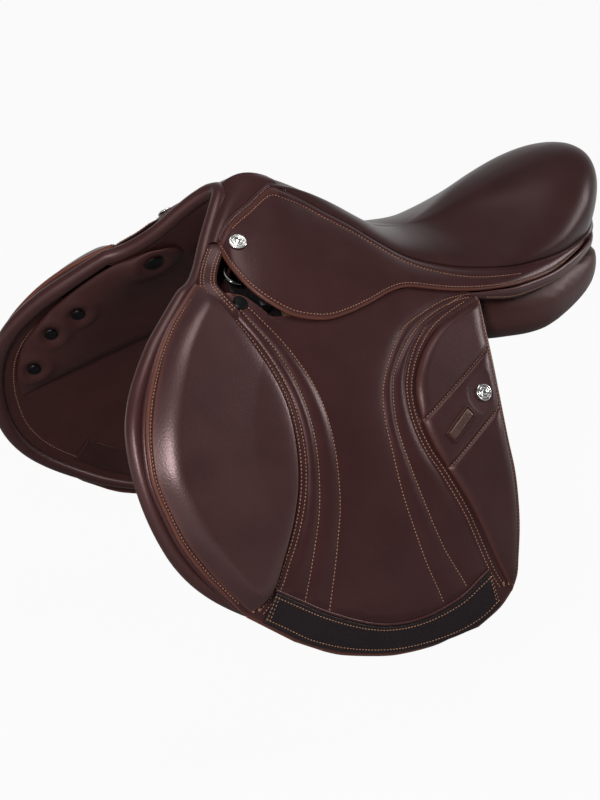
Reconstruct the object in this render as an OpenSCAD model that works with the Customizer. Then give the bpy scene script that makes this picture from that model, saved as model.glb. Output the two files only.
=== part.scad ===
// Jumping saddle, jointed assembly. Millimetres, +Z up, front toward -Y, left side +X.
// Every side piece is cut for the left and mirrored for the right.

/* [Body shape] */
// Half width of the horse's barrel under the flaps
barrel_w = 238; // [232:1:244]
// Half height of the barrel ellipse
barrel_h = 437; // [430:1:444]
// Height of the barrel's centre line
barrel_z = -290; // [-294:1:-286]
// Length of the saddle, flap front to cantle
saddle_l = 597; // [580:1:620]

/* [Seat] */
// Thickness of the seat leather
seat_leather = 2.4; // [1.6:0.1:3.2]
// Thickness of the foam under the seat leather
foam_t = 9; // [7:0.5:11]
// Thickness of the web that the foam lies on
web_t = 1.8; // [1.2:0.1:2.6]
// Thickness of the wooden tree frame
tree_t = 7; // [5:0.5:9]

/* [Flap and skirt] */
// Thickness of the flap leather
flap_t = 5; // [3.5:0.25:5.5]
// Thickness of the skirt leather
skirt_t = 4; // [3:0.25:4.5]
// Height of the knee pad above the flap
knee_crown = 8; // [5:0.5:11]
// Height of the calf pad above the flap
calf_crown = 5; // [3:0.5:7]
// Height where the flap folds
fold_z = 75; // [72:0.5:76]
// Diameter of the studs
stud_d = 16.5; // [13:0.5:20]

/* [Straps] */
// Width of a girth strap
strap_w = 24; // [20:1:28]
// Thickness of a girth strap
strap_t = 3.5; // [2.5:0.25:4]
// Spacing of the girth straps
strap_pitch = 37; // [34:1:42]
// Diameter of the punched holes
punch_d = 4.5; // [3:0.5:6]
// Thickness of the buckle guard
guard_t = 2.4; // [1.8:0.1:3]

/* [Bar and dee] */
// Length of the stirrup bar
bar_l = 72; // [60:1:80]
// Thickness of the stirrup bar
bar_t = 5.4; // [4:0.2:5.8]
// Diameter of the catch pin
pin_d = 3; // [2.4:0.1:3.6]
// Wire of the dee ring
wire_d = 4; // [3:0.2:4.6]
// Half height of the dee ring
dee_r = 11; // [9:0.5:13]

/* [Fits] */
// Space between two layers that lie on each other
layer_gap = 0.6; // [0.4:0.1:0.9]
// Space between two pieces that move past each other
move_gap = 0.9; // [0.7:0.1:1.4]
// Space around a pin in its hole
pin_gap = 0.12; // [0.08:0.02:0.2]

/* [Hidden] */
$fn = 40;

// Depths under the seat surface
foam_in = seat_leather + layer_gap;
foam_out = foam_in + foam_t;
web_in = foam_out + layer_gap;
web_out = web_in + web_t;
tree_in = web_out + layer_gap;
tree_out = tree_in + tree_t;
tree_drop = tree_out - 22;

// Offsets from the barrel surface, positive outward
pad_in = flap_t + layer_gap;
skirt_in = flap_t + 3.4;
skirt_out = skirt_in + skirt_t;
guard_out = -2 * move_gap;
guard_in = guard_out - guard_t;
strap_out = guard_in - 1.8 * move_gap;
strap_in = strap_out - strap_t;
sweat_out = strap_in - 3;
sweat_in = sweat_out - 3;
pad_top = sweat_in - layer_gap;

leather = [0.24, 0.10, 0.08];
dark = [0.12, 0.09, 0.09];
steel = [0.75, 0.75, 0.77];
wood = [0.72, 0.55, 0.36];
foam = [0.85, 0.82, 0.70];

// Shares of the drawn width, height and length, so that every table follows the sizes
wide = barrel_w / 238;
tall = barrel_h / 437;
long = saddle_l / 597;
function up_z(z) = barrel_z + (z + 290) * tall;
function sized(t) = [for (p = t) [p[0] * wide, p[1] * long, up_z(p[2])]];
function sized_yz(t) = [for (p = t) [p[0] * long, up_z(p[1])]];

// Small helpers
function lerp(a, b, t) = a + (b - a) * t;
function unit(v) = v / norm(v);
function flip_x(p) = [-p[0], p[1], p[2]];
function ease(i, n) = (1 - cos(180 * i / n)) / 2;

// Smooth curve through a few hand-placed points, t from 0 to 1
function curve(p, t) =
  let (n = len(p) - 1, s = min(max(t, 0), 1) * n, i = min(floor(s), n - 1), f = s - i)
  let (a = p[max(i - 1, 0)], b = p[i], c = p[i + 1], e = p[min(i + 2, n)])
  0.5 * (2 * b + (c - a) * f + (2 * a - 5 * b + 4 * c - e) * f * f + (3 * b - a - 3 * c + e) * f * f * f);

function bezier(a, b, c, e, t) =
  let (u = 1 - t)
  u * u * u * a + 3 * u * u * t * b + 3 * u * t * t * c + t * t * t * e;

// Barrel that the side pieces are shaped on: y along, z up, d outward
function barrel_x(z) = barrel_w * sqrt(max(0, 1 - pow((z - barrel_z) / barrel_h, 2)));
function barrel_n(z) = unit([barrel_x(z) / pow(barrel_w, 2), 0, (z - barrel_z) / pow(barrel_h, 2)]);
function barrel(y, z, d) = [barrel_x(z), y, z] + d * barrel_n(z);

// Faces of a polyhedron, turned so that they face outward
function volume6(p, f) = let (v = [for (t = f) p[t[0]] * cross(p[t[1]], p[t[2]])]) v * [for (x = v) 1];
function turned(p, f) = volume6(p, f) < 0 ? f : [for (t = f) [t[2], t[1], t[0]]];
function flat(g) = [for (r = g) each r];
function quad(a, b, c, e) = [[a, b, c], [a, c, e]];

// Closed solid between an outer and an inner grid of points
module skin(outer, inner) {
  n = len(outer);
  m = len(outer[0]);
  k = n * m;
  p = concat(flat(outer), flat(inner));
  top = [for (i = [0:n - 2], j = [0:m - 2])
    each quad(i * m + j, i * m + j + 1, i * m + m + j + 1, i * m + m + j)];
  low = [for (t = top) [t[2] + k, t[1] + k, t[0] + k]];
  ends = [for (j = [0:m - 2]) each concat(quad(j + 1, j, k + j, k + j + 1),
    quad(k - m + j, k - m + j + 1, 2 * k - m + j + 1, 2 * k - m + j))];
  sides = [for (i = [0:n - 2]) each concat(quad(i * m, i * m + m, k + i * m + m, k + i * m),
    quad(i * m + 2 * m - 1, i * m + m - 1, k + i * m + m - 1, k + i * m + 2 * m - 1))];
  polyhedron(points = p, faces = turned(p, concat(top, low, ends, sides)), convexity = 8);
}

// Closed solid through a row of closed loops
module tube(loops) {
  n = len(loops);
  m = len(loops[0]);
  p = flat(loops);
  wall = [for (i = [0:n - 2], j = [0:m - 1])
    each quad(i * m + j, i * m + (j + 1) % m, i * m + m + (j + 1) % m, i * m + m + j)];
  caps = [for (j = [1:m - 2]) each [[0, j + 1, j],
    [(n - 1) * m, (n - 1) * m + j, (n - 1) * m + j + 1]]];
  polyhedron(points = p, faces = turned(p, concat(wall, caps)), convexity = 8);
}

// Stands local X on the barrel's normal, local Y along the saddle, local Z up the slope
module on_barrel(y, z, d) {
  n = barrel_n(z);
  translate(barrel(y, z, d)) rotate([0, -atan2(n[2], n[0]), 0]) children();
}

// Stands local Z on a direction at a point
module stand(p, n) {
  translate(p) rotate([0, acos(n[2]), atan2(n[1], n[0])]) children();
}

// Seat rim, front tip to back: place, then reach of the first handle, out and up of the second
seat_c = [0, 70 * long, up_z(132)];
seat_tilt = 0.15;
RIM = [
  [0, -103, 194, 0.34, -53, -7],
  [15, -97, 186, 0.34, -50, -5],
  [18, -82, 182, 0.35, -46, -1],
  [23.5, -64, 172, 0.36, -40, 1],
  [33, -47, 161, 0.37, -33, 4],
  [47, -24, 147, 0.39, -24, 7],
  [58.5, -11, 137, 0.41, -18, 9],
  [69, 3, 127, 0.43, -12, 12],
  [76.5, 17, 118.5, 0.44, -8, 14],
  [84, 33, 112, 0.46, -4, 16],
  [93.5, 58, 105.5, 0.48, 0, 17],
  [101.5, 84, 102, 0.5, 3, 14],
  [107.5, 122, 99.5, 0.5, 6, 13],
  [107.5, 154, 101, 0.5, 10, 21],
  [99.5, 193, 104.5, 0.47, 15, 47],
  [84, 228, 110, 0.43, 22, 82],
  [70.5, 249, 114.5, 0.4, 29, 110],
  [46, 273, 120, 0.38, 34, 129],
  [22, 287, 123.5, 0.37, 32, 134],
  [0, 291, 125, 0.37, 32, 138]];
SEAT = [for (p = RIM) [p[0] * wide, p[1] * long, up_z(p[2]), p[3], p[4] * long, p[5] * tall]];

// Point of the seat: s round the rim, t from middle to rim, d deep
function seat(s, t, d) =
  let (e = curve(SEAT, s), r = [e[0], e[1] - seat_c[1], 0], l = norm(r), dir = r / l)
  let (b0 = seat_c - [0, 0, d], b1 = b0 + (dir + [0, 0, seat_tilt * dir[1]]) * l * e[3])
  let (b3 = [e[0], e[1], e[2]] - dir * 0.6 * d - [0, 0, 0.8 * d], b2 = b3 + dir * e[4] + [0, 0, e[5]])
  bezier(b0, b1, b2, b3, t);

function seat_ray(i, n, t, d) = i <= n ? seat(i / n, t, d) : flip_x(seat((2 * n - i) / n, t, d));

// Dished layer of the seat between two depths, over the first rings of the seat's grid
SEAT_N = 18;
SEAT_RING_N = 6;
module seat_layer(d0, d1, rings) {
  m = 2 * SEAT_N;
  k = m * rings + 1;
  function rings_at(d) = [for (r = [1:rings], i = [0:m - 1]) seat_ray(i, SEAT_N, r / SEAT_RING_N, d)];
  p0 = concat([seat_c - [0, 0, d0]], rings_at(d0));
  p1 = concat([seat_c - [0, 0, d1]], rings_at(d1));
  hub = [for (i = [0:m - 1]) [0, 1 + i, 1 + (i + 1) % m]];
  rest = [for (r = [0:rings - 2], i = [0:m - 1])
    each quad(1 + r * m + i, 1 + r * m + m + i, 1 + r * m + m + (i + 1) % m, 1 + r * m + (i + 1) % m)];
  top = concat(hub, rest);
  low = [for (t = top) [t[2] + k, t[1] + k, t[0] + k]];
  o = 1 + (rings - 1) * m;
  edge = [for (i = [0:m - 1]) each quad(o + (i + 1) % m, o + i, k + o + i, k + o + (i + 1) % m)];
  p = concat(p0, p1);
  polyhedron(points = p, faces = turned(p, concat(top, low, edge)), convexity = 8);
}

module seat_cover() { color(leather) seat_layer(0, seat_leather, SEAT_RING_N); }

module seat_foam() { color(foam) seat_layer(foam_in, foam_out, SEAT_RING_N); }

module seat_web() { color([0.8, 0.78, 0.7]) seat_layer(web_in, web_out, SEAT_RING_N - 1); }

// Wooden frame: both rails and the cantle in one bent ring, open at the front
module tree_frame() {
  rays = [3:2 * SEAT_N - 3];
  outer = [for (i = rays) [for (r = [4, 5, 6]) seat_ray(i, SEAT_N, r / SEAT_RING_N, tree_in)]];
  inner = [for (i = rays) [for (r = [4, 5, 6]) seat_ray(i, SEAT_N, r / SEAT_RING_N, tree_out)]];
  color(wood) skin(outer, inner);
}

// Arch of the tree from the middle of the head down to a tree point
ARCH = [for (p = [[0, 168], [20, 162], [42, 146], [60, 125], [77, 109], [99, 91], [111, 79]])
  [p[0] * wide, up_z(p[1])]];
function arch(t, d) =
  let (g = t < 0.01 ? [1, 0] : unit(curve(ARCH, t + 0.02) - curve(ARCH, t - 0.02)))
  curve(ARCH, t) + d * [-g[1], g[0]];

module arch_plate(d0, d1, n, y0, y1) {
  left0 = [for (i = [0:n]) arch(0.97 * i / 12, d0)];
  left1 = [for (i = [0:n]) arch(0.97 * i / 12, d1)];
  half = concat(left1, [for (i = [n:-1:0]) left0[i]]);
  right0 = [for (i = [1:n]) [-left0[i][0], left0[i][1]]];
  right1 = [for (i = [n:-1:1]) [-left1[i][0], left1[i][1]]];
  translate([0, y1, 0]) rotate([90, 0, 0]) linear_extrude(height = y1 - y0)
    polygon(concat(half, right0, right1));
}

module tree_head() { color(wood) arch_plate(-4, 4, 12, -132 * long, -76 * long); }

module gullet_plate() {
  color(steel) arch_plate(-4 - layer_gap - 2.5, -4 - layer_gap, 8, -126 * long, -84 * long);
}

// Leather over the pommel, between the front roll and the skirts
module pommel_cap() {
  rear = sized([[51.5, -160.4, 156], [44, -148.4, 163.6], [32, -126.4, 172.2], [14.5, -104, 186],
    [0, -104.4, 193]]);
  front = sized([[47, -167.1, 150], [38, -158.1, 159.5], [25, -145.1, 172.5], [10.5, -134.5, 182.8],
    [0, -131.6, 186.4]]);
  function row(s) = let (a = curve(rear, s), b = curve(front, s))
    [for (j = [0:4]) lerp(a, b, j / 4) + [0, -1, 2] * 6 * (j / 4) * (1 - j / 4)];
  function normal(p) = unit([0.7 * p[0] / 60, -0.35, 0.8]);
  half = [for (i = [0:10]) row(i / 10)];
  outer = concat(half, [for (i = [9:-1:0]) [for (p = half[i]) flip_x(p)]]);
  inner = [for (r = outer) [for (p = r) p - 3 * normal(p)]];
  color(leather) skin(outer, inner);
}

// Leather band that closes the back of the cantle under the seat seam
facing_top = 0.8 * foam_in + 0.8;
facing_h = 14;
module cantle_facing() {
  rays = [16:2 * SEAT_N - 16];
  function out(p) = unit([p[0], p[1] - seat_c[1], 0]);
  function row(i, d) = let (p = seat_ray(i, SEAT_N, 1, 0))
    [for (j = [0:2]) p + d * out(p) - [0, 0, facing_top + facing_h * j / 2]];
  color(leather) skin([for (i = rays) row(i, 1.2)], [for (i = rays) row(i, -1.8)]);
}

// Ring of points round a path
function ring(p, g, n, r, k) =
  let (b = cross(g, n))
  [for (j = [0:k - 1]) p + r * (cos(360 * j / k) * n + sin(360 * j / k) * b)];
function path_dir(p, i) = unit(p[min(i + 1, len(p) - 1)] - p[max(i - 1, 0)]);
function square_to(n, g) = unit(n - (n * g) * g);

module rope(path, normals, radii, k) {
  tube([for (i = [0:len(path) - 1])
    let (g = path_dir(path, i)) ring(path[i], g, square_to(normals[i], g), radii[i], k)]);
}

// Piping where the panels meet the skirts and the cantle
module rear_welt() {
  w = sized([[130, 84, 80.2], [128.5, 108, 77.7], [124.5, 130, 78.2], [114, 171, 81.7],
    [98.5, 211, 89.2],
    [82, 239, 96.2], [70, 252, 96.7], [50, 267, 99.2], [26, 279, 103.2], [0, 283, 104.7]]);
  n = 20;
  half = [for (i = [0:n]) curve(w, i / n)];
  path = concat(half, [for (i = [n - 1:-1:0]) flip_x(half[i])]);
  color(dark) rope(path, [for (p = path) [0, 0, 1]], [for (p = path) 2.6], 6);
}

// Long roll that binds the panel edges and runs over the arch of the pommel
module edge_roll() {
  side = [[55, 66, 4.2], [54, 30, 4.2], [52, -30, 4.2], [49, -97, 4.2], [45, -133, 4.2],
    [36, -160, 4.2],
    [18, -179, 4.3], [-9, -190, 4.3], [-50, -193.5, 4.5], [-91, -192, 4.7], [-130, -185, 4.9],
    [-170, -171, 5.2], [-206, -152, 5.6], [-237, -133, 6], [-262, -112, 6.6], [-281, -87, 7],
    [-294, -57, 7.2], [-301, -28, 7.3], [-303, 0, 7.4], [-299, 27, 7.5], [-286, 53, 7.5],
    [-265, 78, 7.5], [-246, 95, 7.4]];
  top = [[86, -221, 107], [75, -203, 115], [60, -188.5, 127], [46, -177, 140], [34, -165, 155],
    [22, -153, 169], [10, -143, 179], [0, -140, 182]];
  n = 36;
  low = [for (i = [0:n]) let (p = curve(side, i / n)) [p[0] * long, up_z(p[1]), p[2] * wide]];
  hi = [for (i = [1:10]) curve(sized(top), (i - 1) / 9)];
  roll_d = (sweat_in + sweat_out) / 2;
  half = concat([for (p = low) barrel(p[0], p[1], roll_d)], hi);
  half_n = concat([for (p = low) barrel_n(p[1])], [for (p = hi) unit([p[0] / wide / 50, -0.55, 0.8])]);
  half_r = concat([for (p = low) p[2]], [for (p = hi) 7 * wide]);
  m = len(half) - 1;
  path = concat(half, [for (i = [m - 1:-1:0]) flip_x(half[i])]);
  up = concat(half_n, [for (i = [m - 1:-1:0]) flip_x(half_n[i])]);
  radii = concat(half_r, [for (i = [m - 1:-1:0]) half_r[i]]);
  color(leather) rope(path, up, radii, 8);
}

// Skirt: upper edge along the pommel and the seat seam, lower edge over the flap
SKIRT_TOP = sized([[61, -171, 147.5], [49, -153, 162], [34, -125, 172.5], [19.6, -97, 183],
  [22, -82, 179],
  [24.8, -64, 170.3], [34.3, -47, 159.3], [48.3, -24, 145.3], [59.8, -11, 135.3], [70.3, 3, 125.3],
  [77.8, 17, 116.8], [85.3, 33, 110.3], [94.8, 58, 103.8], [102.8, 84, 100.3], [108.8, 122, 97.8],
  [108.8, 154, 99.3], [100.8, 193, 102.8], [85.3, 228, 108.3], [72, 247.5, 112.5]]);
SKIRT_LOW = sized([[62, -171.5, 144], [89, -172, 130], [112, -162, 112], [130, -140, 94.5],
  [135.5, -122, 87.5], [138, -100, 84], [136.5, -78, 86], [132, -52, 91], [127, -30, 96.5],
  [124.5, -14, 99], [124.5, 0, 98.5], [127, 14, 96], [130.5, 36, 92], [133, 62, 89], [131.5, 92, 87],
  [126, 126, 86], [114, 170, 89], [96, 212, 99], [78, 240, 107]]);

function skirt_n(p, w) =
  let (h = unit([p[0] + 20, max(0, p[1] - 100), 0]))
  unit(h * (0.60 + 0.14 * w) + [0, 0, 0.80 - 0.18 * w]);

// Point of the skirt: v along, w from the upper to the lower edge, d deep
function skirt(v, w, d) =
  let (a = curve(SKIRT_TOP, v), b = curve(SKIRT_LOW, v))
  let (b2 = b + (skirt_out - 12.4 * wide) * skirt_n(b, 1), n = skirt_n(lerp(a, b2, w), w))
  lerp(a, b2, w) + n * (0.24 * norm(b - a) * w * (1 - w) - d);

// Fold of the skirt's loose lobe: a straight chord between two points of the lower edge
lobe_a = curve(SKIRT_LOW, 1 / 18);
lobe_b = curve(SKIRT_LOW, 10 / 18);
lobe_c = unit(lobe_b - lobe_a);
lobe_m = curve(SKIRT_LOW, 5 / 18) - lobe_a;
lobe_q = unit(lobe_m - (lobe_m * lobe_c) * lobe_c);
function lobe_w(v) =
  let (f = (curve(SKIRT_TOP, v) - lobe_a) * lobe_q, g = (curve(SKIRT_LOW, v) - lobe_a) * lobe_q)
  (v <= 1 / 18 || v >= 10 / 18) ? 1 : min(1, f / (f - g));
function lobe_cut(v, k) = lobe_w(v) + k * move_gap / norm(curve(SKIRT_LOW, v) - curve(SKIRT_TOP, v));

module left_skirt() {
  n = 36;
  outer = [for (i = [0:n]) [for (j = [0:4]) skirt(i / n, min(1, lobe_cut(i / n, -0.5)) * j / 4, 0)]];
  inner = [for (i = [0:n]) [for (j = [0:4]) skirt(i / n, min(1, lobe_cut(i / n, -0.5)) * j / 4, skirt_t)]];
  color(leather) skin(outer, inner);
}

module left_skirt_lobe() {
  n = 14;
  function vv(i) = lerp(1.35, 9.3, i / n) / 18;
  outer = [for (i = [0:n]) [for (j = [0:3]) skirt(vv(i), lerp(lobe_cut(vv(i), 0.5), 1, j / 3), 0)]];
  inner = [for (i = [0:n]) [for (j = [0:3]) skirt(vv(i), lerp(lobe_cut(vv(i), 0.5), 1, j / 3), skirt_t)]];
  color(leather) skin(outer, inner);
}

// Button with plain rings
module stud() {
  rotate_extrude() polygon([[0, 0], [stud_d / 2, 0], [stud_d / 2, 1], [stud_d * 0.44, 1.8],
    [stud_d * 0.36, 1.8],
    [stud_d * 0.36, 2.4], [stud_d * 0.27, 3], [stud_d * 0.22, 2.5], [0, 2.5]]);
}

// Outward direction of the skirt's surface
function skirt_face(v, w) =
  let (a = skirt(v + 0.01, w, 0) - skirt(v - 0.01, w, 0))
  let (b = skirt(v, w + 0.05, 0) - skirt(v, w - 0.05, 0))
  let (n = unit(cross(a, b))) n[2] < 0 ? -n : n;

module left_skirt_stud() {
  v = 1.3 / 18;
  w = 0.5;
  n = skirt_face(v, w);
  color(steel) stand(skirt(v, w, 0) + layer_gap * n, n) stud();
}

// Flap outline on the barrel, from the fold down, as a front and a rear edge
FLAP_FRONT = sized_yz([[-266, fold_z - 0.1], [-280, 59], [-293, 39], [-302, 16], [-306, -8],
  [-305, -26],
  [-299, -48], [-289, -74],
  [-272, -100], [-256, -120], [-230, -148], [-199, -170], [-176, -185], [-140, -200], [-100, -210],
  [-75, -213]]);
FLAP_REAR = sized_yz([[70, fold_z - 0.1], [66, 53], [63, 25], [61, -8], [61, -41], [63, -74],
  [61, -114], [56, -148],
  [53, -165], [45, -180], [31, -193], [9, -205], [-20, -211], [-45, -213]]);

// Grid on the barrel between two edges at one offset
function sheet(le, re, nv, nu, d) =
  [for (i = [0:nv]) let (a = curve(le, i / nv), b = curve(re, i / nv))
    [for (j = [0:nu]) let (p = lerp(a, b, j / nu)) barrel(p[0], p[1], d)]];

module left_flap() {
  color(leather) skin(sheet(FLAP_FRONT, FLAP_REAR, 18, 8, flap_t), sheet(FLAP_FRONT, FLAP_REAR, 18, 8, 0));
}

// Part of the flap above the fold, fixed to the tree, with a hollow for the stirrup bar
module left_flap_head() {
  hi = sized_yz([[-263, 78], [-249, 91], [-227, 106], [-209, 114], [-196, 112], [-186, 108],
    [-176, 106], [-166, 102],
    [-157, 90], [-148, 85.5], [-110, 85], [-70, 86], [-58, 90], [-30, 91], [10, 92.1], [45, 85.2],
    [68, 79]]);
  lo = [for (p = hi) [p[0], up_z(fold_z) + 0.6]];
  n = 30;
  color(leather) skin(sheet(hi, lo, n, 2, flap_t), sheet(hi, lo, n, 2, 0));
}

// Pillow height over a patch, with sewn lines across it
function pillow(u, v, crown, sewn) =
  let (e = pow(1 - pow(abs(2 * u - 1), 2.6), 0.6) * pow(1 - pow(abs(2 * v - 1), 5), 0.6))
  crown * e * min([1, for (s = sewn) 0.25 + 0.75 * min(1, abs(v - s) / 0.05)]);

function pillow_grid(le, re, nv, nu, d, edge, crown, sewn, out) =
  [for (i = [0:nv]) let (v = i / nv, a = curve(le, v), b = curve(re, v))
    [for (j = [0:nu]) let (u = ease(j, nu), p = lerp(a, b, u))
      barrel(p[0], p[1], d + out * (edge + pillow(u, v, crown, sewn)))]];

module pillow_pad(le, re, nv, nu, d, edge, crown, sewn, out) {
  outer = pillow_grid(le, re, nv, nu, d, edge, crown, sewn, out);
  skin(outer, pillow_grid(le, re, nv, nu, d, 0, 0, [], out));
}

KNEE_FRONT = sized_yz([[-260, 71], [-275, 54], [-287, 36], [-296, 14], [-300, -8], [-299, -26],
  [-293, -47],
  [-283, -72],
  [-267, -96], [-251, -116], [-237, -132], [-228, -142]]);
KNEE_SEAM = sized_yz([[-186, 71], [-173, 46], [-166, 18], [-165, -12], [-171, -46], [-183, -77],
  [-198, -104],
  [-210, -124], [-222, -137]]);

module left_knee_pad() {
  color(leather) pillow_pad(KNEE_FRONT, KNEE_SEAM, 14, 8, pad_in, 1.5, knee_crown, [], 1);
}

CALF_SEAM = sized_yz([[56, 68], [36, 63], [10, 54], [-13, 37], [-27, 13], [-26, -13], [-19, -36],
  [-12, -56],
  [0, -80], [11, -104], [21, -130], [31, -154], [40, -170]]);
CALF_REAR = sized_yz([[64, 68], [63, 62], [62, 56], [61, 50], [60, 44], [59, 38], [56, 12],
  [55, -12], [56, -45],
  [57, -78],
  [55, -110], [51, -142], [46, -163]]);

CALF_SEWN = [5 / 12, 7 / 12];

module left_calf_pad() {
  color(leather) pillow_pad(CALF_SEAM, CALF_REAR, 24, 6, pad_in, 1.5, calf_crown, CALF_SEWN, 1);
}

BAND_TOP = sized_yz([[-205, -128], [-182, -142], [-153, -159], [-113, -177], [-81, -184],
  [-48, -183], [-14, -174],
  [9, -161], [20, -155]]);
BAND_LOW = sized_yz([[-220, -152], [-199, -166], [-176, -181], [-140, -196], [-96, -207],
  [-59, -210], [-20, -208],
  [9, -201], [30, -188]]);

module left_flap_band() { color(dark) pillow_pad(BAND_TOP, BAND_LOW, 16, 2, pad_in, 1.6, 0, [], 1); }

// Leather keeper for a strap end, a frame on the calf pad
module left_keeper() {
  top = pad_in + 1.5 + calf_crown + layer_gap;
  color(leather) on_barrel(7 * long, up_z(-21), top) rotate([38, 0, 0]) rotate([0, 90, 0])
    linear_extrude(height = 3) difference() {
      square([14, 37], center = true);
      square([7.4, 28], center = true);
    }
}

module left_flap_stud() {
  top = pad_in + 1.5 + 0.93 * calf_crown + layer_gap;
  color(steel) on_barrel(39 * long, up_z(1), top) rotate([0, 90, 0]) stud();
}

SWEAT_FRONT = sized_yz([[-254, 71], [-276, 48], [-289, 24], [-294, 0], [-292, -28], [-285, -55],
  [-272, -85],
  [-254, -108],
  [-231, -127], [-201, -145], [-167, -163], [-128, -177], [-90, -185]]);
SWEAT_REAR = sized_yz([[50, 71], [49, 40], [47, 0], [45, -50], [43, -95], [39, -130], [31, -155],
  [14, -173],
  [-10, -183], [-45, -186]]);

module left_sweat_flap() {
  outer = sheet(SWEAT_FRONT, SWEAT_REAR, 16, 6, sweat_out);
  inner = sheet(SWEAT_FRONT, SWEAT_REAR, 16, 6, sweat_in);
  color(leather) skin(outer, inner);
}

// Padded forward part of the panel, on the horse's side of the sweat flap
PAD_FRONT = sized_yz([[-194, 128], [-216, 110], [-244, 82], [-265, 54], [-279, 27], [-284, 0],
  [-282, -25],
  [-273, -45]]);
PAD_REAR = sized_yz([[-160, 132], [-147, 108], [-138, 84], [-130, 62], [-112, 50], [-96, 40],
  [-92, 30], [-110, 14]]);

pad_edge = 4;
pad_crown = 12;

module left_front_pad() {
  color(leather) pillow_pad(PAD_FRONT, PAD_REAR, 14, 7, pad_top, pad_edge, pad_crown, [], -1);
}

// Point of the forward pad's face and its direction, u across and v down
function pad_point(u, v) =
  let (p = lerp(curve(PAD_FRONT, v), curve(PAD_REAR, v), u))
  barrel(p[0], p[1], pad_top - pad_edge - pillow(u, v, pad_crown, []));
function pad_face(u, v) =
  let (a = pad_point(u + 0.02, v) - pad_point(u - 0.02, v))
  let (b = pad_point(u, v + 0.02) - pad_point(u, v - 0.02))
  let (n = unit(cross(a, b))) n[0] > 0 ? -n : n;

// Round plastic caps on the forward pad
module pad_cap(u, v, d, h) {
  n = pad_face(u, v);
  stand(pad_point(u, v) + 0.4 * layer_gap * n, n) cylinder(d1 = d, d2 = 0.76 * d, h = h);
}

module left_panel_caps() {
  color(dark) {
    pad_cap(0.5, 0.06, 21, 2.6);
    for (p = [[0.2, 0.4], [0.12, 0.53], [0.085, 0.78]]) pad_cap(p[0], p[1], 15, 2.2);
  }
}

// Seat panel: a padded cushion that bears on the horse's back, as oval stations along the saddle
STATIONS = [[-150, 55, 94.2, 6, 5, -0.75], [-128, 60, 93.2, 17, 11, -0.75],
  [-80, 64, 92.2, 27, 15, -0.6],
  [-30, 68, 83.2, 35, 20, -0.45], [20, 71, 69.2, 40, 25, -0.35], [70, 75, 60.7, 44, 28, -0.3],
  [120, 77, 56.2, 46, 30, -0.2], [170, 76, 55.2, 43, 31, -0.1], [215, 69, 62.5, 34, 28, 0],
  [250, 60, 72, 25, 21.5, 0.05], [271, 51, 81, 13, 12, 0]];
PANEL = [for (p = STATIONS)
  [p[0] * long, p[1] * wide, up_z(p[2]), p[3] * wide, p[4] * tall, p[5] * tall / wide]];

module left_panel() {
  function power(x) = sign(x) * pow(abs(x), 0.8);
  function loop(t) = let (p = curve(PANEL, t))
    [for (j = [0:13]) let (a = 360 * j / 14, u = p[3] * power(cos(a)))
      [p[1] + u, p[0], p[2] - tree_drop + p[5] * u + p[4] * power(sin(a))]];
  color(leather) tube([for (i = [0:28]) loop(i / 28)]);
}

// Block in front of the knee, under the flap
BLOCK_FRONT = sized_yz([[-264, 48], [-277, 24], [-281, 0], [-278, -28], [-266, -56], [-249, -78]]);
BLOCK_REAR = sized_yz([[-222, 56], [-222, 30], [-226, 2], [-230, -26], [-232, -50], [-238, -72]]);

module left_knee_block() {
  color(dark) pillow_pad(BLOCK_FRONT, BLOCK_REAR, 8, 4, sweat_out + layer_gap, 3, 5.5, [], 1);
}

// Girth strap on the barrel with punched holes and a cut tip
module billet(y) {
  z0 = up_z(68);
  z1 = up_z(-146);
  n = 16;
  outer = [for (i = [0:n]) let (p = barrel(0, lerp(z0, z1, i / n), strap_out)) [p[0], p[2]]];
  inner = [for (i = [n:-1:0]) let (p = barrel(0, lerp(z0, z1, i / n), strap_in)) [p[0], p[2]]];
  color(leather) difference() {
    translate([0, y + strap_w / 2, 0]) rotate([90, 0, 0]) linear_extrude(height = strap_w)
      polygon(concat(outer, inner));
    for (i = [0:7]) on_barrel(y, up_z(-128 + 17 * i), strap_in - 2) rotate([0, 90, 0])
      cylinder(d = punch_d, h = strap_t + 4, $fn = 20);
    for (k = [-1, 1]) on_barrel(y + k * strap_w / 2, z1 + 10, strap_in - 4) rotate([-40 * k, 0, 0])
      translate([0, 10 * k - 10, -20]) cube([strap_t + 8, 20, 40]);
  }
}

strap_y = -58 * long;
module left_billet_front() { billet(strap_y - strap_pitch); }
module left_billet_middle() { billet(strap_y); }
module left_billet_rear() { billet(strap_y + strap_pitch); }

// Web that the girth straps are sewn to, on the sweat flap
module left_girth_web() {
  function side(k) = [[strap_y + 62 * k, up_z(71)], [strap_y + 64 * k, up_z(60)],
    [strap_y + 62 * k, up_z(48)]];
  outer = sheet(side(-1), side(1), 6, 4, strap_in - 0.5);
  inner = sheet(side(-1), side(1), 6, 4, sweat_out + layer_gap);
  color([0.8, 0.78, 0.7]) skin(outer, inner);
}

// Guard that keeps the girth buckles off the flap, hung on the middle strap by its ridge
module left_buckle_guard() {
  function side(k) = [[strap_y + 52 * k, up_z(-6)], [strap_y + 54 * k, up_z(-40)],
    [strap_y + 52 * k, up_z(-80)], [strap_y + 42 * k, up_z(-112)], [strap_y + 22 * k, up_z(-124)]];
  ridge = guard_in - strap_out - 0.4;
  function leaf(d) = [for (i = [0:12]) let (a = curve(side(-1), i / 12), b = curve(side(1), i / 12))
    [for (j = [0:4]) let (p = lerp(a, b, j / 4)) barrel(p[0], p[1], d - (j == 2 ? ridge : 0))]];
  color(leather) skin(leaf(guard_out), leaf(guard_in));
}

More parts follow.
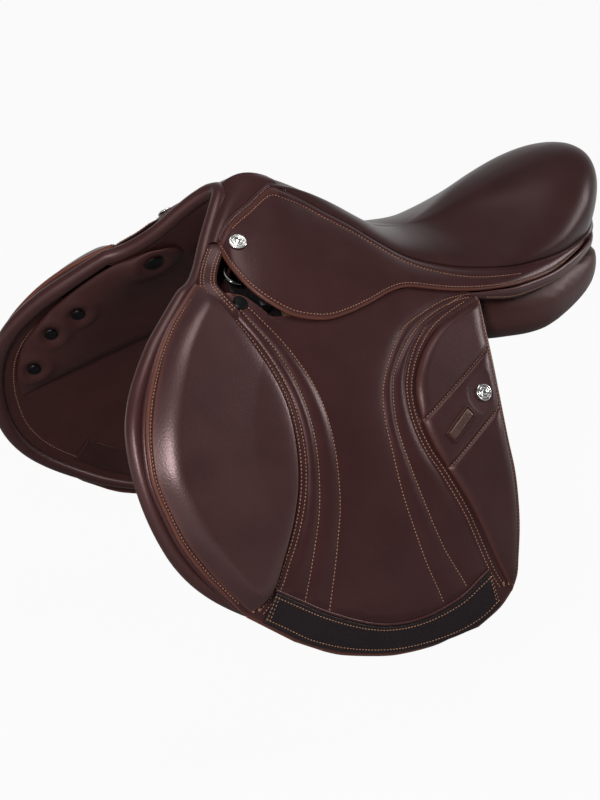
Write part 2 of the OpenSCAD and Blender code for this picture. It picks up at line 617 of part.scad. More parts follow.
// Recessed stirrup bar with its plate, open at the rear, with a fork for the safety catch
bar_y = -112 * long;
bar_z = up_z(100);
bar_in = 7 - bar_t;
fork_y = bar_l / 2 - 4;
tongue_t = 1.6;
module left_stirrup_bar() {
  mid = bar_in + bar_t / 2;
  color(steel) on_barrel(bar_y, bar_z, 0) {
    difference() {
      union() {
        translate([-7.4, -bar_l / 2 - 10, -6]) cube([3, bar_l + 10, 26]);
        translate([-5, -bar_l / 2 - 10, -8]) cube([12, 12, 16]);
        translate([bar_in, -bar_l / 2, -8]) cube([bar_t, bar_l, 16]);
      }
      translate([mid - tongue_t / 2 - 0.4, fork_y - 8, -9]) cube([tongue_t + 0.8, 20, 18]);
    }
    translate([bar_in + 0.2, fork_y, 0]) rotate([0, 90, 0]) cylinder(d = pin_d, h = bar_t - 0.4);
  }
}

// Black plastic boss at the front of the bar, on the flap
module left_bar_boss() {
  color(dark) on_barrel(-177 * long, up_z(98.5), flap_t + layer_gap) rotate([0, 90, 0]) rotate_extrude()
    polygon([[0, 0], [6.8, 0], [6.8, 2], [5.6, 3.2], [0, 3.6]]);
}

// Hinged thumb catch at the open end of the bar
module left_safety_catch() {
  mid = bar_in + bar_t / 2;
  color(steel) on_barrel(bar_y, bar_z, 0) difference() {
    union() {
      translate([mid - tongue_t / 2, fork_y, 0]) rotate([0, 90, 0]) cylinder(d = 10, h = tongue_t);
      translate([mid - tongue_t / 2, fork_y, -5]) cube([tongue_t, 14, 10]);
      translate([bar_in + 0.6, fork_y + 12, -6.5]) cube([bar_t - 1.2, 9, 13]);
    }
    translate([mid - 3, fork_y, 0]) rotate([0, 90, 0]) cylinder(d = pin_d + 2 * pin_gap, h = 6);
  }
}

// Dee ring at the front of the skirt and the clip that holds its straight side
dee_y = -166 * long;
dee_z = up_z(119);
dee_d = 3.2;
module left_dee() {
  color(steel) on_barrel(dee_y, dee_z, dee_d) {
    rotate([0, 90, 0]) rotate([0, 0, 180])
      rotate_extrude(angle = 180) translate([dee_r, 0]) circle(d = wire_d);
    translate([0, 0, -dee_r]) cylinder(d = wire_d, h = 2 * dee_r);
    for (k = [-1, 1]) translate([0, 0, k * dee_r]) sphere(d = wire_d);
  }
}

module left_dee_clip() {
  color(steel) on_barrel(dee_y, dee_z, dee_d) difference() {
    union() {
      translate([-3.6, -3.4, -5.5]) cube([7.2, 14, 11]);
      translate([-3.6, 6, 0.5]) cube([11.6, 8, 9]);
    }
    translate([0, 0, -7]) cylinder(d = wire_d + 2 * pin_gap, h = 14);
  }
}

module right() { mirror([1, 0, 0]) children(); }
module right_skirt() { right() left_skirt(); }
module right_skirt_lobe() { right() left_skirt_lobe(); }
module right_skirt_stud() { right() left_skirt_stud(); }
module right_flap_head() { right() left_flap_head(); }
module right_flap() { right() left_flap(); }
module right_knee_pad() { right() left_knee_pad(); }
module right_calf_pad() { right() left_calf_pad(); }
module right_flap_band() { right() left_flap_band(); }
module right_keeper() { right() left_keeper(); }
module right_flap_stud() { right() left_flap_stud(); }
module right_panel() { right() left_panel(); }
module right_front_pad() { right() left_front_pad(); }
module right_sweat_flap() { right() left_sweat_flap(); }
module right_knee_block() { right() left_knee_block(); }
module right_panel_caps() { right() left_panel_caps(); }
module right_dee_clip() { right() left_dee_clip(); }
module right_dee() { right() left_dee(); }
module right_stirrup_bar() { right() left_stirrup_bar(); }
module right_bar_boss() { right() left_bar_boss(); }
module right_safety_catch() { right() left_safety_catch(); }
module right_billet_front() { right() left_billet_front(); }
module right_billet_middle() { right() left_billet_middle(); }
module right_billet_rear() { right() left_billet_rear(); }
module right_girth_web() { right() left_girth_web(); }
module right_buckle_guard() { right() left_buckle_guard(); }

tree_head();
gullet_plate();
tree_frame();
seat_web();
seat_foam();
seat_cover();
pommel_cap();
cantle_facing();
rear_welt();
edge_roll();
left_skirt();
left_skirt_lobe();
left_skirt_stud();
left_flap_head();
left_flap();
left_knee_pad();
left_calf_pad();
left_flap_band();
left_keeper();
left_flap_stud();
left_panel();
left_front_pad();
left_sweat_flap();
left_knee_block();
left_panel_caps();
left_dee_clip();
left_dee();
left_stirrup_bar();
left_bar_boss();
left_safety_catch();
left_billet_front();
left_billet_middle();
left_billet_rear();
left_girth_web();
left_buckle_guard();
right_skirt();
right_skirt_lobe();
right_skirt_stud();
right_flap_head();
right_flap();
right_knee_pad();
right_calf_pad();
right_flap_band();
right_keeper();
right_flap_stud();
right_panel();
right_front_pad();
right_sweat_flap();
right_knee_block();
right_panel_caps();
right_dee_clip();
right_dee();
right_stirrup_bar();
right_bar_boss();
right_safety_catch();
right_billet_front();
right_billet_middle();
right_billet_rear();
right_girth_web();
right_buckle_guard();
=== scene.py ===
"""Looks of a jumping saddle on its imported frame: leather, thread, metal and a plain studio.

Shapes are worked out in millimetres and meshed in metres. +Z is up, the front lies towards -Y
and the rider's left side towards +X. Left pieces are shaped first and mirrored for the right.
A place is a pair of y along and z up on the horse's barrel; offsets from the barrel point outward.
"""
import logging
import math
from dataclasses import dataclass, field
from enum import Enum
from functools import cached_property

import bpy
import numpy as np
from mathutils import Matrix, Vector


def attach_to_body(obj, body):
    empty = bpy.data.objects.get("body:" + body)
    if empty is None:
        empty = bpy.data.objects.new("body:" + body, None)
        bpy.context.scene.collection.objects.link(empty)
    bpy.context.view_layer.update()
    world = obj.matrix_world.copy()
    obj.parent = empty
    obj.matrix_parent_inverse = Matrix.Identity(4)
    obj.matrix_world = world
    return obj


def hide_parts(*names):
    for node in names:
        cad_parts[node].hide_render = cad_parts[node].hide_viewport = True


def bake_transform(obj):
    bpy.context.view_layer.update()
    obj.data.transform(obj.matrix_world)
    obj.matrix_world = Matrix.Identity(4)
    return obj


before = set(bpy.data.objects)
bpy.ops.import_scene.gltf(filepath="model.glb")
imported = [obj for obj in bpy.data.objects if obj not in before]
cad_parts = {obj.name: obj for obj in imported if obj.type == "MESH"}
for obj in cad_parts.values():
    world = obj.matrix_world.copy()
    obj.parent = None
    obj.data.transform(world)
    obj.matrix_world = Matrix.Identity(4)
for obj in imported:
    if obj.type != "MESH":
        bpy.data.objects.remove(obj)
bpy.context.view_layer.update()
LOG = logging.getLogger("saddle")
MM = 0.001
TINY = 1e-9
EDGE_SHARE = 0.96
FLAP_FOLD = (86, 64)
LOBE_FOLD = 10
GRAIN_DEPTH = 0.0006
UP = np.array([0, 0, 1.0])
Array = np.ndarray
Piece = bpy.types.Object


class Side(Enum):
    """The two sides of the saddle, with the sign of their X."""

    LEFT = 1
    RIGHT = -1

    @property
    def prefix(self) -> str:
        """Start of the names of this side's nodes and bodies."""
        return "left_" if self is Side.LEFT else "right_"


class Ride(Enum):
    """What a piece moves with."""

    SADDLE = "saddle"
    FLAP = "flap"
    LOBE = "lobe"


def curve(points: tuple, t: Array) -> Array:
    """Smooth curve through given points.

    Args:
        points: rows of coordinates.
        t: places along the curve, 0 to 1.
    Returns:
        One row of coordinates for each place.
    """
    p = np.asarray(points, float)
    n = len(p) - 1
    s = np.clip(np.asarray(t, float), 0, 1) * n
    i = np.minimum(np.floor(s).astype(int), n - 1)
    f = (s - i)[..., None]
    a, b, c, e = p[np.maximum(i - 1, 0)], p[i], p[i + 1], p[np.minimum(i + 2, n)]
    return 0.5 * (2 * b + (c - a) * f + (2 * a - 5 * b + 4 * c - e) * f**2 + (3 * b - a - 3 * c + e) * f**3)


def travelled(p: Array) -> Array:
    """Length along a path at each of its rows."""
    return np.concatenate([[0], np.cumsum(np.linalg.norm(np.diff(p, axis=0), axis=1))])


def along(points: tuple, t: Array) -> Array:
    """Smooth curve through points, with t as shares of its length."""
    k = np.linspace(0, 1, 60 * len(points))
    s = travelled(curve(points, k))
    return curve(points, np.interp(np.asarray(t) * s[-1], s, k))


def unit(v: Array) -> Array:
    """Vectors of length one along the last axis."""
    return v / np.maximum(np.linalg.norm(v, axis=-1, keepdims=True), TINY)


def swell(x: Array) -> Array:
    """Quarter-round rise from 0 to 1."""
    return np.sqrt(np.clip(1 - (1 - np.clip(x, 0, 1)) ** 2, 0, 1))


def smooth(x: Array) -> Array:
    """S-shaped rise from 0 to 1."""
    k = np.clip(x, 0, 1)
    return k * k * (3 - 2 * k)


def bell(x: Array, wide: float) -> Array:
    """Bell of height one that falls off over a width."""
    return np.exp(-((x / wide) ** 2))


def spread(n: int, length: float, fine: float = 3.0) -> Array:
    """Shares from 0 to 1 with close rows near both ends, for rounded edges.

    Args:
        n: rows in between.
        length: length in millimetres.
        fine: width of the close rows in millimetres.
    Returns:
        Sorted shares.
    """
    e = fine * np.array([0, 0.06, 0.16, 0.3, 0.5, 0.75]) / length
    return np.concatenate([e, np.linspace(fine / length, 1 - fine / length, n), 1 - e[::-1]])


def eased_edge(e: Array, r: float) -> Array:
    """How far a sheet's face drops towards its middle near its edge, short of meeting the other face."""
    k = np.clip(r - e, 0, r)
    return EDGE_SHARE * (r - np.sqrt(np.maximum(r * r - k * k, 0)))


def between(a: Array, b: Array, u: Array) -> Array:
    """Grid of points from each row of a to the same row of b, at shares u."""
    return a[:, None] + (b - a)[:, None] * u[None, :, None]


def apart(a: Array, b: Array) -> Array:
    """Distances between the rows of a and b, as a column."""
    return np.linalg.norm(b - a, axis=-1)[:, None]


def nearest(u: Array) -> Array:
    """Shares measured from the nearer end."""
    return np.minimum(u, 1 - u)


def aside(line: Array, gap: float) -> Array:
    """Line of places moved to one side by a gap."""
    way = unit(np.gradient(line, axis=0))
    return line + np.stack([-way[:, 1], way[:, 0]], -1) * gap


def flip(p: Array) -> Array:
    """Points mirrored to the other side."""
    return p * np.array([-1.0, 1, 1])


def doubled(half: Array) -> Array:
    """Rows of the left side as far as the middle, followed by their mirror image."""
    return np.concatenate([half, flip(half[-2::-1])])


@dataclass(frozen=True)
class Barrel:
    """The horse's barrel that the side pieces lie on."""

    width: float = 238.0
    height: float = 437.0
    centre: float = -290.0

    def half(self, z: Array) -> Array:
        """Half widths at heights z."""
        return self.width * np.sqrt(np.maximum(0, 1 - ((z - self.centre) / self.height) ** 2))

    def normal(self, z: Array) -> Array:
        """Outward directions at heights z."""
        z = np.asarray(z, float)
        return unit(np.stack([self.half(z) / self.width**2, 0 * z, (z - self.centre) / self.height**2], -1))

    def point(self, y: Array, z: Array, d: Array) -> Array:
        """Points at y along, z up and d outward."""
        y, z, d = np.broadcast_arrays(*(np.asarray(k, float) for k in (y, z, d)))
        return np.stack([self.half(z), y, z], -1) + d[..., None] * self.normal(z)

    def lay(self, places: Array, d: Array) -> Array:
        """Points at places, d outward."""
        return self.point(places[..., 0], places[..., 1], d)

    def out(self, places: Array) -> Array:
        """Outward directions at places."""
        return self.normal(places[..., 1])


BARREL = Barrel()


@dataclass(frozen=True)
class SeatShape:
    """The dished seat: cubic rays from its middle to a rim, each with a share and a handle."""

    centre: tuple = (0.0, 70.0, 132.0)
    rim: tuple = ((0, -103, 194, 0.34, -53, -7), (15, -97, 186, 0.34, -50, -5), (18, -82, 182, 0.35, -46, -1),
        (23.5, -64, 172, 0.36, -40, 1), (33, -47, 161, 0.37, -33, 4), (47, -24, 147, 0.39, -24, 7),
        (58.5, -11, 137, 0.41, -18, 9), (69, 3, 127, 0.43, -12, 12), (76.5, 17, 118.5, 0.44, -8, 14),
        (84, 33, 112, 0.46, -4, 16), (93.5, 58, 105.5, 0.48, 0, 17), (101.5, 84, 102, 0.5, 3, 12),
        (107.5, 122, 99.5, 0.5, 6, 10), (107.5, 154, 101, 0.5, 10, 14), (99.5, 193, 104.5, 0.47, 15, 34),
        (84, 228, 110, 0.43, 22, 68), (70.5, 249, 114.5, 0.4, 29, 102), (46, 273, 120, 0.38, 34, 131),
        (22, 287, 123.5, 0.37, 32, 139), (0, 291, 125, 0.37, 32, 141))

    @cached_property
    def table(self) -> Array:
        """Rim table at even steps along the rim, with its kinks and handles evened out."""
        p = curve(self.rim, np.linspace(0, 1, 1200))
        length = travelled(p[:, :2])
        p = np.stack([np.interp(np.linspace(0, length[-1], 241), length, c) for c in p.T], -1)
        mirror = np.array([-1.0, 1, 1, 1, 1, 1])
        wide = np.concatenate([p[60:0:-1] * mirror, p, p[-2:-62:-1] * mirror])
        x = np.arange(-60, 61)
        for column in range(6):
            weight = np.exp(-0.5 * (x / (2 if column < 3 else 11)) ** 2)
            p[:, column] = np.convolve(wide[:, column], weight / weight.sum(), "valid")
        return p

    def point(self, s: Array, t: Array, d: Array) -> Array:
        """Points at s round the rim (0 front, 1 back), t from the middle to the rim, d deep."""
        e = curve(self.table, s)
        c = np.array(self.centre)
        r = np.stack([e[..., 0], e[..., 1] - c[1], 0 * e[..., 0]], -1)
        length = np.linalg.norm(r, axis=-1, keepdims=True)
        way = r / length
        d, t = (np.asarray(k, float)[..., None] for k in (d, t))
        b0 = c - d * UP
        b1 = b0 + (way + UP * 0.15 * way[..., 1:2]) * length * e[..., 3:4]
        b3 = e[..., :3] - way * 0.6 * d - UP * 0.8 * d
        b2 = b3 + way * e[..., 4:5] + UP * e[..., 5:6]
        u = 1 - t
        return u**3 * b0 + 3 * u * u * t * b1 + 3 * u * t * t * b2 + t**3 * b3

    def away(self, p: Array) -> Array:
        """Level directions from the seat's middle to points."""
        return unit((p - np.array(self.centre)) * [1, 1, 0])


@dataclass(frozen=True)
class SkirtShape:
    """The skirt: an upper edge along the seat seam and a lower edge over the flap."""

    top: tuple = ((61, -171, 147.5), (49, -153, 162), (34, -125, 172.5), (19.6, -97, 183), (22, -82, 179),
        *((x + 1.3, y, z - 1.7) for x, y, z, *_ in SeatShape.rim[3:16]), (72, 247.5, 112.5))
    low: tuple = ((62, -171.5, 144), (89, -172, 130), (112, -162, 112), (130, -140, 94.5),
        (135.5, -122, 87.5), (138, -100, 84), (136.5, -78, 86), (132, -52, 91), (127, -30, 96.5),
        (124.5, -14, 99), (124.5, 0, 98.5), (127, 14, 96), (130.5, 36, 92), (133, 62, 89), (131.5, 92, 87),
        (126, 126, 86), (114, 170, 89), (96, 212, 99), (78, 240, 107))

    def share(self, points: float) -> float:
        """Share of the skirt's length at a number of its edge's points."""
        return points / (len(self.low) - 1)

    def width(self, v: Array) -> Array:
        """Widths of the skirt from its upper to its lower edge."""
        return np.linalg.norm(curve(self.top, v) - curve(self.low, v), axis=-1)

    def point(self, v: Array, w: Array, d: Array) -> Array:
        """Points at v along, w from the upper to the lower edge, d deep."""
        v, w, d = np.broadcast_arrays(*(np.asarray(k, float) for k in (v, w, d)))
        a, b = curve(self.top, v), curve(self.low, v)
        p = a + (b - a) * w[..., None]
        h = unit(np.stack([p[..., 0] + 20, np.maximum(0, p[..., 1] - 100), 0 * w], -1))
        n = unit(h * (0.60 + 0.14 * w)[..., None] + UP * (0.80 - 0.18 * w)[..., None])
        bow = 0.24 * np.linalg.norm(b - a, axis=-1) * w * (1 - w) - d
        return p + n * bow[..., None]

    def face(self, v: Array, w: Array) -> Array:
        """Outward directions of the skirt's face."""
        a = self.point(v + 0.004, w, 0.0) - self.point(v - 0.004, w, 0.0)
        b = self.point(v, w + 0.03, 0.0) - self.point(v, w - 0.03, 0.0)
        n = unit(np.cross(a, b))
        return n * np.where(n[..., 2:3] < 0, -1, 1)

    def chord(self) -> tuple:
        """Start of the lobe's fold and the direction across it, downward."""
        a, b, m = (curve(self.low, np.array(self.share(k))) for k in (1, 10, 5))
        c = unit(b - a)
        return a, unit((m - a) - np.dot(m - a, c) * c)


SEAT = SeatShape()
SKIRT = SkirtShape()


def link(name: str, data: bpy.types.ID) -> Piece:
    """New object in the scene."""
    obj = bpy.data.objects.new(name, data)
    bpy.context.scene.collection.objects.link(obj)
    return obj


def mesh_object(name: str, points: Array, faces: list, side: Side = Side.LEFT, wear: Array = None) -> Piece:
    """Closed mesh object with outward faces.

    Args:
        name: name of the object.
        points: rows of millimetres.
        faces: rows of point numbers, all turned the same way.
        side: the right side is mirrored.
        wear: share of worn edge at each point.
    Returns:
        The linked object.
    """
    p = flip(points) if side is Side.RIGHT else points
    tri = np.array([f[:3] for f in faces] + [(f[0], f[2], f[3]) for f in faces if len(f) == 4])
    volume = np.einsum("ij,ij->", p[tri[:, 0]], np.cross(p[tri[:, 1]], p[tri[:, 2]]))
    if volume < 0:
        faces = [f[::-1] for f in faces]
    mesh = bpy.data.meshes.new(name)
    mesh.from_pydata((p * MM).tolist(), [], faces)
    mesh.shade_smooth()
    layer = mesh.attributes.new("wear", "FLOAT", "POINT")
    layer.data.foreach_set("value", np.zeros(len(p)) if wear is None else np.asarray(wear, float).ravel())
    return link(name, mesh)


def quads(n: int, m: int, wrap: bool = False) -> list:
    """Faces of a grid of n rows and m columns, closed across the columns if wrapped."""
    i, j = np.meshgrid(np.arange(n - 1), np.arange(m if wrap else m - 1), indexing="ij")
    k = (j + 1) % m
    f = np.stack([i * m + j, i * m + k, (i + 1) * m + k, (i + 1) * m + j], -1)
    return f.reshape(-1, 4).tolist()


def slab(name: str, outer: Array, inner: Array, side: Side = Side.LEFT, wear: Array = None) -> Piece:
    """Closed object between two grids of points."""
    n, m = outer.shape[:2]
    k = n * m
    top = quads(n, m)
    low = [[d + k, c + k, b + k, a + k] for a, b, c, d in top]
    rim = list(range(m)) + [i * m + m - 1 for i in range(1, n)]
    rim += [(n - 1) * m + j for j in range(m - 2, -1, -1)] + [i * m for i in range(n - 2, 0, -1)]
    edge = [[b, a, a + k, b + k] for a, b in zip(rim, rim[1:] + rim[:1])]
    both = None if wear is None else np.concatenate([wear.ravel(), wear.ravel()])
    points = np.concatenate([outer.reshape(-1, 3), inner.reshape(-1, 3)])
    return mesh_object(name, points, top + low + edge, side, both)


def ringed(name: str, rings: Array, tips: Array, side: Side = Side.LEFT) -> Piece:
    """Closed object of rings of points, with a tip at each end."""
    k, m = rings.shape[:2]
    ends = [[k * m + tip, (j + 1) % m + start, j + start][::way]
            for tip, start, way in ((0, 0, 1), (1, (k - 1) * m, -1)) for j in range(m)]
    return mesh_object(name, np.concatenate([rings.reshape(-1, 3), tips]), quads(k, m, True) + ends, side)


def circle(count: int) -> tuple:
    """Cosines and sines of even steps round a circle."""
    a = np.arange(count) * 2 * math.pi / count
    return np.cos(a), np.sin(a)


def tube(name: str, path: Array, up: Array, radii: Array, sides: int, side: Side = Side.LEFT,
         flat: float = 1.0) -> Piece:
    """Closed round strip along a path, with domed ends.

    Args:
        name: name of the object.
        path: rows of millimetres.
        up: direction across the path at each row.
        radii: radius, or one for each row.
        sides: points round the strip.
        side: the right side is mirrored.
        flat: share of the radius across the up direction.
    Returns:
        The linked object.
    """
    radii = np.broadcast_to(np.asarray(radii, float), path.shape[:1])
    way = unit(np.gradient(path, axis=0))
    n = unit(up - np.sum(up * way, -1, keepdims=True) * way)
    b = np.cross(way, n)
    dome, back = np.array([0.3, 0.65, 0.88]), np.array([[0.8], [0.6], [0.3]])
    path = np.concatenate([path[:1] - way[:1] * radii[0] * back, path,
                           path[-1:] + way[-1:] * radii[-1] * back[::-1]])
    n, b = (np.concatenate([k[[0] * 3], k, k[[-1] * 3]]) for k in (n, b))
    r = np.concatenate([radii[0] * dome, radii, radii[-1] * dome[::-1]])
    cos, sin = circle(sides)
    ring = cos[None, :, None] * n[:, None] + flat * sin[None, :, None] * b[:, None]
    return ringed(name, path[:, None] + r[:, None, None] * ring, path[[0, -1]], side)


def turned(name: str, at: Array, axis: Array, profile: list, side: Side) -> Piece:
    """Turned solid: a profile of radius and height round an axis."""
    n = unit(np.cross(axis, [0.1, 0.2, 1.0]))
    cos, sin = circle(64)
    ring = cos[:, None] * n + sin[:, None] * np.cross(axis, n)
    tips = np.array([at + profile[k][1] * axis for k in (0, -1)])
    return ringed(name, np.array([at + r * ring + h * axis for r, h in profile]), tips, side)


def apply_modifiers(obj: Piece) -> None:
    """Makes what a piece's modifiers show its plain mesh."""
    mesh = bpy.data.meshes.new_from_object(obj.evaluated_get(bpy.context.evaluated_depsgraph_get()))
    obj.modifiers.clear()
    obj.data = mesh


def inflate(obj: Piece, voxel: float = 0.005, cap: float = 0.004, frames: int = 20) -> None:
    """Blows a cushion up as cloth and keeps the shape it takes.

    Args:
        obj: closed piece, a little smaller than it ends up.
        voxel: size of the even mesh that is blown up.
        cap: farthest that a point may move.
        frames: length of the simulation.
    """
    even = obj.modifiers.new("Even", "REMESH")
    even.mode, even.voxel_size, even.use_smooth_shade = "VOXEL", voxel, True
    apply_modifiers(obj)
    start = np.zeros(3 * len(obj.data.vertices))
    obj.data.vertices.foreach_get("co", start)
    cloth = obj.modifiers.new("Blown", "CLOTH")
    cloth.settings.use_pressure, cloth.settings.uniform_pressure_force = True, 4
    cloth.settings.effector_weights.gravity = 0
    cloth.collision_settings.use_collision = False
    cloth.point_cache.frame_start, cloth.point_cache.frame_end = 1, frames
    for step in range(1, frames + 1):
        bpy.context.scene.frame_set(step)
    end = np.zeros_like(start)
    obj.evaluated_get(bpy.context.evaluated_depsgraph_get()).data.vertices.foreach_get("co", end)
    obj.modifiers.clear()
    bpy.context.scene.frame_set(1)
    move = (end - start).reshape(-1, 3)
    move *= np.minimum(1, cap / np.maximum(np.linalg.norm(move, axis=1, keepdims=True), TINY))
    obj.data.vertices.foreach_set("co", (start.reshape(-1, 3) + move).ravel())
    fine = obj.modifiers.new("Smooth", "SUBSURF")
    fine.levels = fine.render_levels = 1
    apply_modifiers(obj)
    obj.data.shade_smooth()
    LOG.info("%s blown up by %.1f mm at most", obj.name, 1000 * np.linalg.norm(move, axis=1).max())


class NodeKit:
    """Short hand for making nodes and links in one tree."""

    def __init__(self, tree: bpy.types.NodeTree) -> None:
        self.tree = tree

    def add(self, kind: str, values: dict = None, **props: object) -> bpy.types.Node:
        """New node with its properties and the values of its inputs."""
        node = self.tree.nodes.new(kind)
        for key, value in props.items():
            setattr(node, key, value)
        self.fill(node, values or {})
        return node

    @staticmethod
    def fill(node: bpy.types.Node, values: dict) -> None:
        """Sets inputs of a node."""
        for key, value in values.items():
            node.inputs[key].default_value = value

    def wire(self, *links: tuple) -> None:
        """Joins sockets, each link given as a node and its output, then a node and its input."""
        for a, source, b, target in links:
            self.tree.links.new(a.outputs[source], b.inputs[target])


def new_group(name: str, kind: str, inputs: dict, outputs: dict) -> tuple:
    """Node group with its sockets.

    Args:
        name: name of the group.
        kind: kind of tree.
        inputs: kinds of the input sockets by name.
        outputs: kinds of the output sockets by name.
    """
    tree = bpy.data.node_groups.new(name, kind)
    for way, sockets in (("INPUT", inputs), ("OUTPUT", outputs)):
        for key, of in sockets.items():
            tree.interface.new_socket(key, in_out=way, socket_type="NodeSocket" + of)
    kit = NodeKit(tree)
    return kit, kit.add("NodeGroupInput"), kit.add("NodeGroupOutput")


def grain_group() -> bpy.types.NodeTree:
    """Shared group: height and mottle of leather grain from a place on the piece."""
    inputs = {"Place": "Vector", "Scale": "Float", "Pebble": "Float"}
    outputs = {"Height": "Float", "Mottle": "Float"}
    kit, given, out = new_group("Leather grain", "ShaderNodeTree", inputs, outputs)
    cells = kit.add("ShaderNodeTexVoronoi", {"Smoothness": 0.6}, feature="SMOOTH_F1")
    fine = kit.add("ShaderNodeTexNoise", {"Detail": 4})
    wide = kit.add("ShaderNodeTexNoise", {"Scale": 22, "Detail": 3})
    finer = kit.add("ShaderNodeMath", {1: 1.7}, operation="MULTIPLY")
    mix = kit.add("ShaderNodeMix")
    kit.wire(*((given, "Place", node, "Vector") for node in (cells, fine, wide)),
             (given, "Scale", cells, "Scale"), (given, "Scale", finer, 0), (finer, 0, fine, "Scale"),
             (given, "Pebble", mix, "Factor"), (fine, "Fac", mix, "A"), (cells, "Distance", mix, "B"),
             (mix, "Result", out, "Height"), (wide, "Fac", out, "Mottle"))
    return kit.tree


def tone_group() -> bpy.types.NodeTree:
    """Shared group: colour and roughness of leather from its mottle and its worn edges."""
    inputs = {"Base": "Color", "Worn": "Color", "Wear": "Float", "Mottle": "Float", "Rough": "Float"}
    outputs = {"Color": "Color", "Roughness": "Float"}
    kit, given, out = new_group("Leather tone", "ShaderNodeTree", inputs, outputs)
    shade = kit.add("ShaderNodeMapRange", {"From Min": 0.3, "From Max": 0.7, "To Min": 0.9, "To Max": 1.1})
    dim = kit.add("ShaderNodeVectorMath", operation="SCALE")
    worn = kit.add("ShaderNodeMix", data_type="RGBA")
    rough = kit.add("ShaderNodeMath", {1: 0.12}, operation="MULTIPLY_ADD")
    kit.wire((given, "Mottle", shade, "Value"), (given, "Base", dim, 0), (shade, "Result", dim, "Scale"),
             (given, "Wear", worn, "Factor"), (dim, 0, worn, "A"), (given, "Worn", worn, "B"),
             (worn, "Result", out, "Color"), (given, "Mottle", rough, 0), (given, "Rough", rough, 2),
             (rough, 0, out, "Roughness"))
    return kit.tree


@dataclass(frozen=True)
class Plain:
    """A finish of one colour, faintly uneven in its polish: metal, plastic, thread, wood or foam."""

    name: str
    slot: str
    base: tuple
    rough: float
    metal: float = 0.0
    shine: float = 0.5
    scale: float = 300.0

    def material(self, grain: bpy.types.NodeTree, tone: bpy.types.NodeTree) -> bpy.types.Material:
        """Material that draws on the shared groups."""
        mat = bpy.data.materials.new(self.name)
        mat.use_nodes = True
        kit = NodeKit(mat.node_tree)
        face = mat.node_tree.nodes["Principled BSDF"]
        kit.fill(face, {"Metallic": self.metal, "Specular IOR Level": self.shine})
        place = kit.add("ShaderNodeTexCoord")
        g = kit.add("ShaderNodeGroup", node_tree=grain)
        t = kit.add("ShaderNodeGroup", node_tree=tone)
        kit.fill(g, {"Scale": self.scale})
        kit.fill(t, {"Base": (*self.base, 1), "Rough": self.rough - 0.06})
        kit.wire((place, "Object", g, "Place"), (g, "Mottle", t, "Mottle"), (t, "Color", face, "Base Color"),
                 (t, "Roughness", face, "Roughness"))
        self.refine(kit, face, g, t)
        return mat

    def refine(self, kit: NodeKit, face: bpy.types.Node, g: bpy.types.Node, t: bpy.types.Node) -> None:
        """Adds what only some finishes have."""


@dataclass(frozen=True)
class Leather(Plain):
    """A leather, with grain and worn edges."""

    rough: float = 0.33
    shine: float = 0.24
    scale: float = 620.0
    worn: tuple = (0.085, 0.030, 0.021)
    pebble: float = 0.55
    bump: float = 0.18
    tint: tuple = (1, 0.72, 0.72)

    def refine(self, kit: NodeKit, face: bpy.types.Node, g: bpy.types.Node, t: bpy.types.Node) -> None:
        """Adds grain, worn edges and a warm sheen."""
        wear = kit.add("ShaderNodeAttribute", attribute_name="wear")
        bump = kit.add("ShaderNodeBump", {"Strength": self.bump, "Distance": GRAIN_DEPTH})
        kit.fill(g, {"Pebble": self.pebble})
        kit.fill(t, {"Worn": (*self.worn, 1)})
        kit.fill(face, {"Specular Tint": (*self.tint, 1)})
        kit.wire((wear, "Fac", t, "Wear"), (g, "Height", bump, "Height"), (bump, "Normal", face, "Normal"))


class Finish(Enum):
    """Every finish of the saddle."""

    LEATHER = Leather("saddle_leather", "leather", (0.034, 0.0120, 0.0124), worn=(0.110, 0.040, 0.028))
    SEAT = Leather("seat_leather", "seat_leather", (0.031, 0.0130, 0.0128), 0.35, worn=(0.060, 0.024, 0.018),
                   scale=760, bump=0.12, shine=0.13)
    PAD = Leather("pad_leather", "leather", (0.033, 0.0120, 0.0124), 0.36, scale=560, bump=0.22, shine=0.62)
    CALF = Leather("calf_leather", "leather", (0.032, 0.0114, 0.0118), 0.4, scale=560, bump=0.22, shine=0.36)
    ROLL = Leather("roll_leather", "roll_leather", (0.037, 0.0127, 0.0122), 0.36, worn=(0.100, 0.036, 0.026),
                   scale=700, bump=0.14, shine=0.42)
    KEEPER = Leather("keeper_leather", "roll_leather", (0.060, 0.034, 0.026), 0.3, worn=(0.090, 0.050, 0.036),
                     scale=420, pebble=0.9, bump=0.8, shine=0.5)
    # The band's dark finish also colours the sheet that paints the shade behind the stirrup bar.
    BAND = Leather("band_leather", "dark_leather", (0.0085, 0.0065, 0.0075), 0.46, worn=(0.016, 0.011, 0.011),
                   scale=380, pebble=0.9, bump=0.9)
    LINING = Leather("lining_leather", "leather", (0.038, 0.0135, 0.0122), 0.44, worn=(0.090, 0.036, 0.026),
                     scale=640, bump=0.16)
    THREAD = Plain("thread", "leather", (0.27, 0.145, 0.09), 0.62, shine=0.1)
    NICKEL = Plain("nickel", "nickel", (0.70, 0.69, 0.67), 0.2, 1.0)
    # Near-black nickel for the dee and its clip: the darkness paints the dark surroundings that the shiny dee
    # reflects (painted reflection).
    DARK = Plain("dark_nickel", "nickel", (0.07, 0.07, 0.07), 0.14, 1.0)
    # Dark steel for the stirrup bar, its catch and the gullet plate: darkened so that the bar sinks into the
    # shade under the skirt (painted shade).
    STEEL = Plain("steel", "steel", (0.14, 0.14, 0.145), 0.4, 1.0)
    PLASTIC = Plain("black_plastic", "black_plastic", (0.003, 0.003, 0.0035), 0.36, shine=0.12)
    WOOD = Plain("tree_wood", "tree_wood", (0.14, 0.08, 0.042), 0.55)
    FOAM = Plain("foam", "foam", (0.62, 0.58, 0.46), 0.85)
    WEB = Plain("web", "web", (0.12, 0.09, 0.066), 0.8)


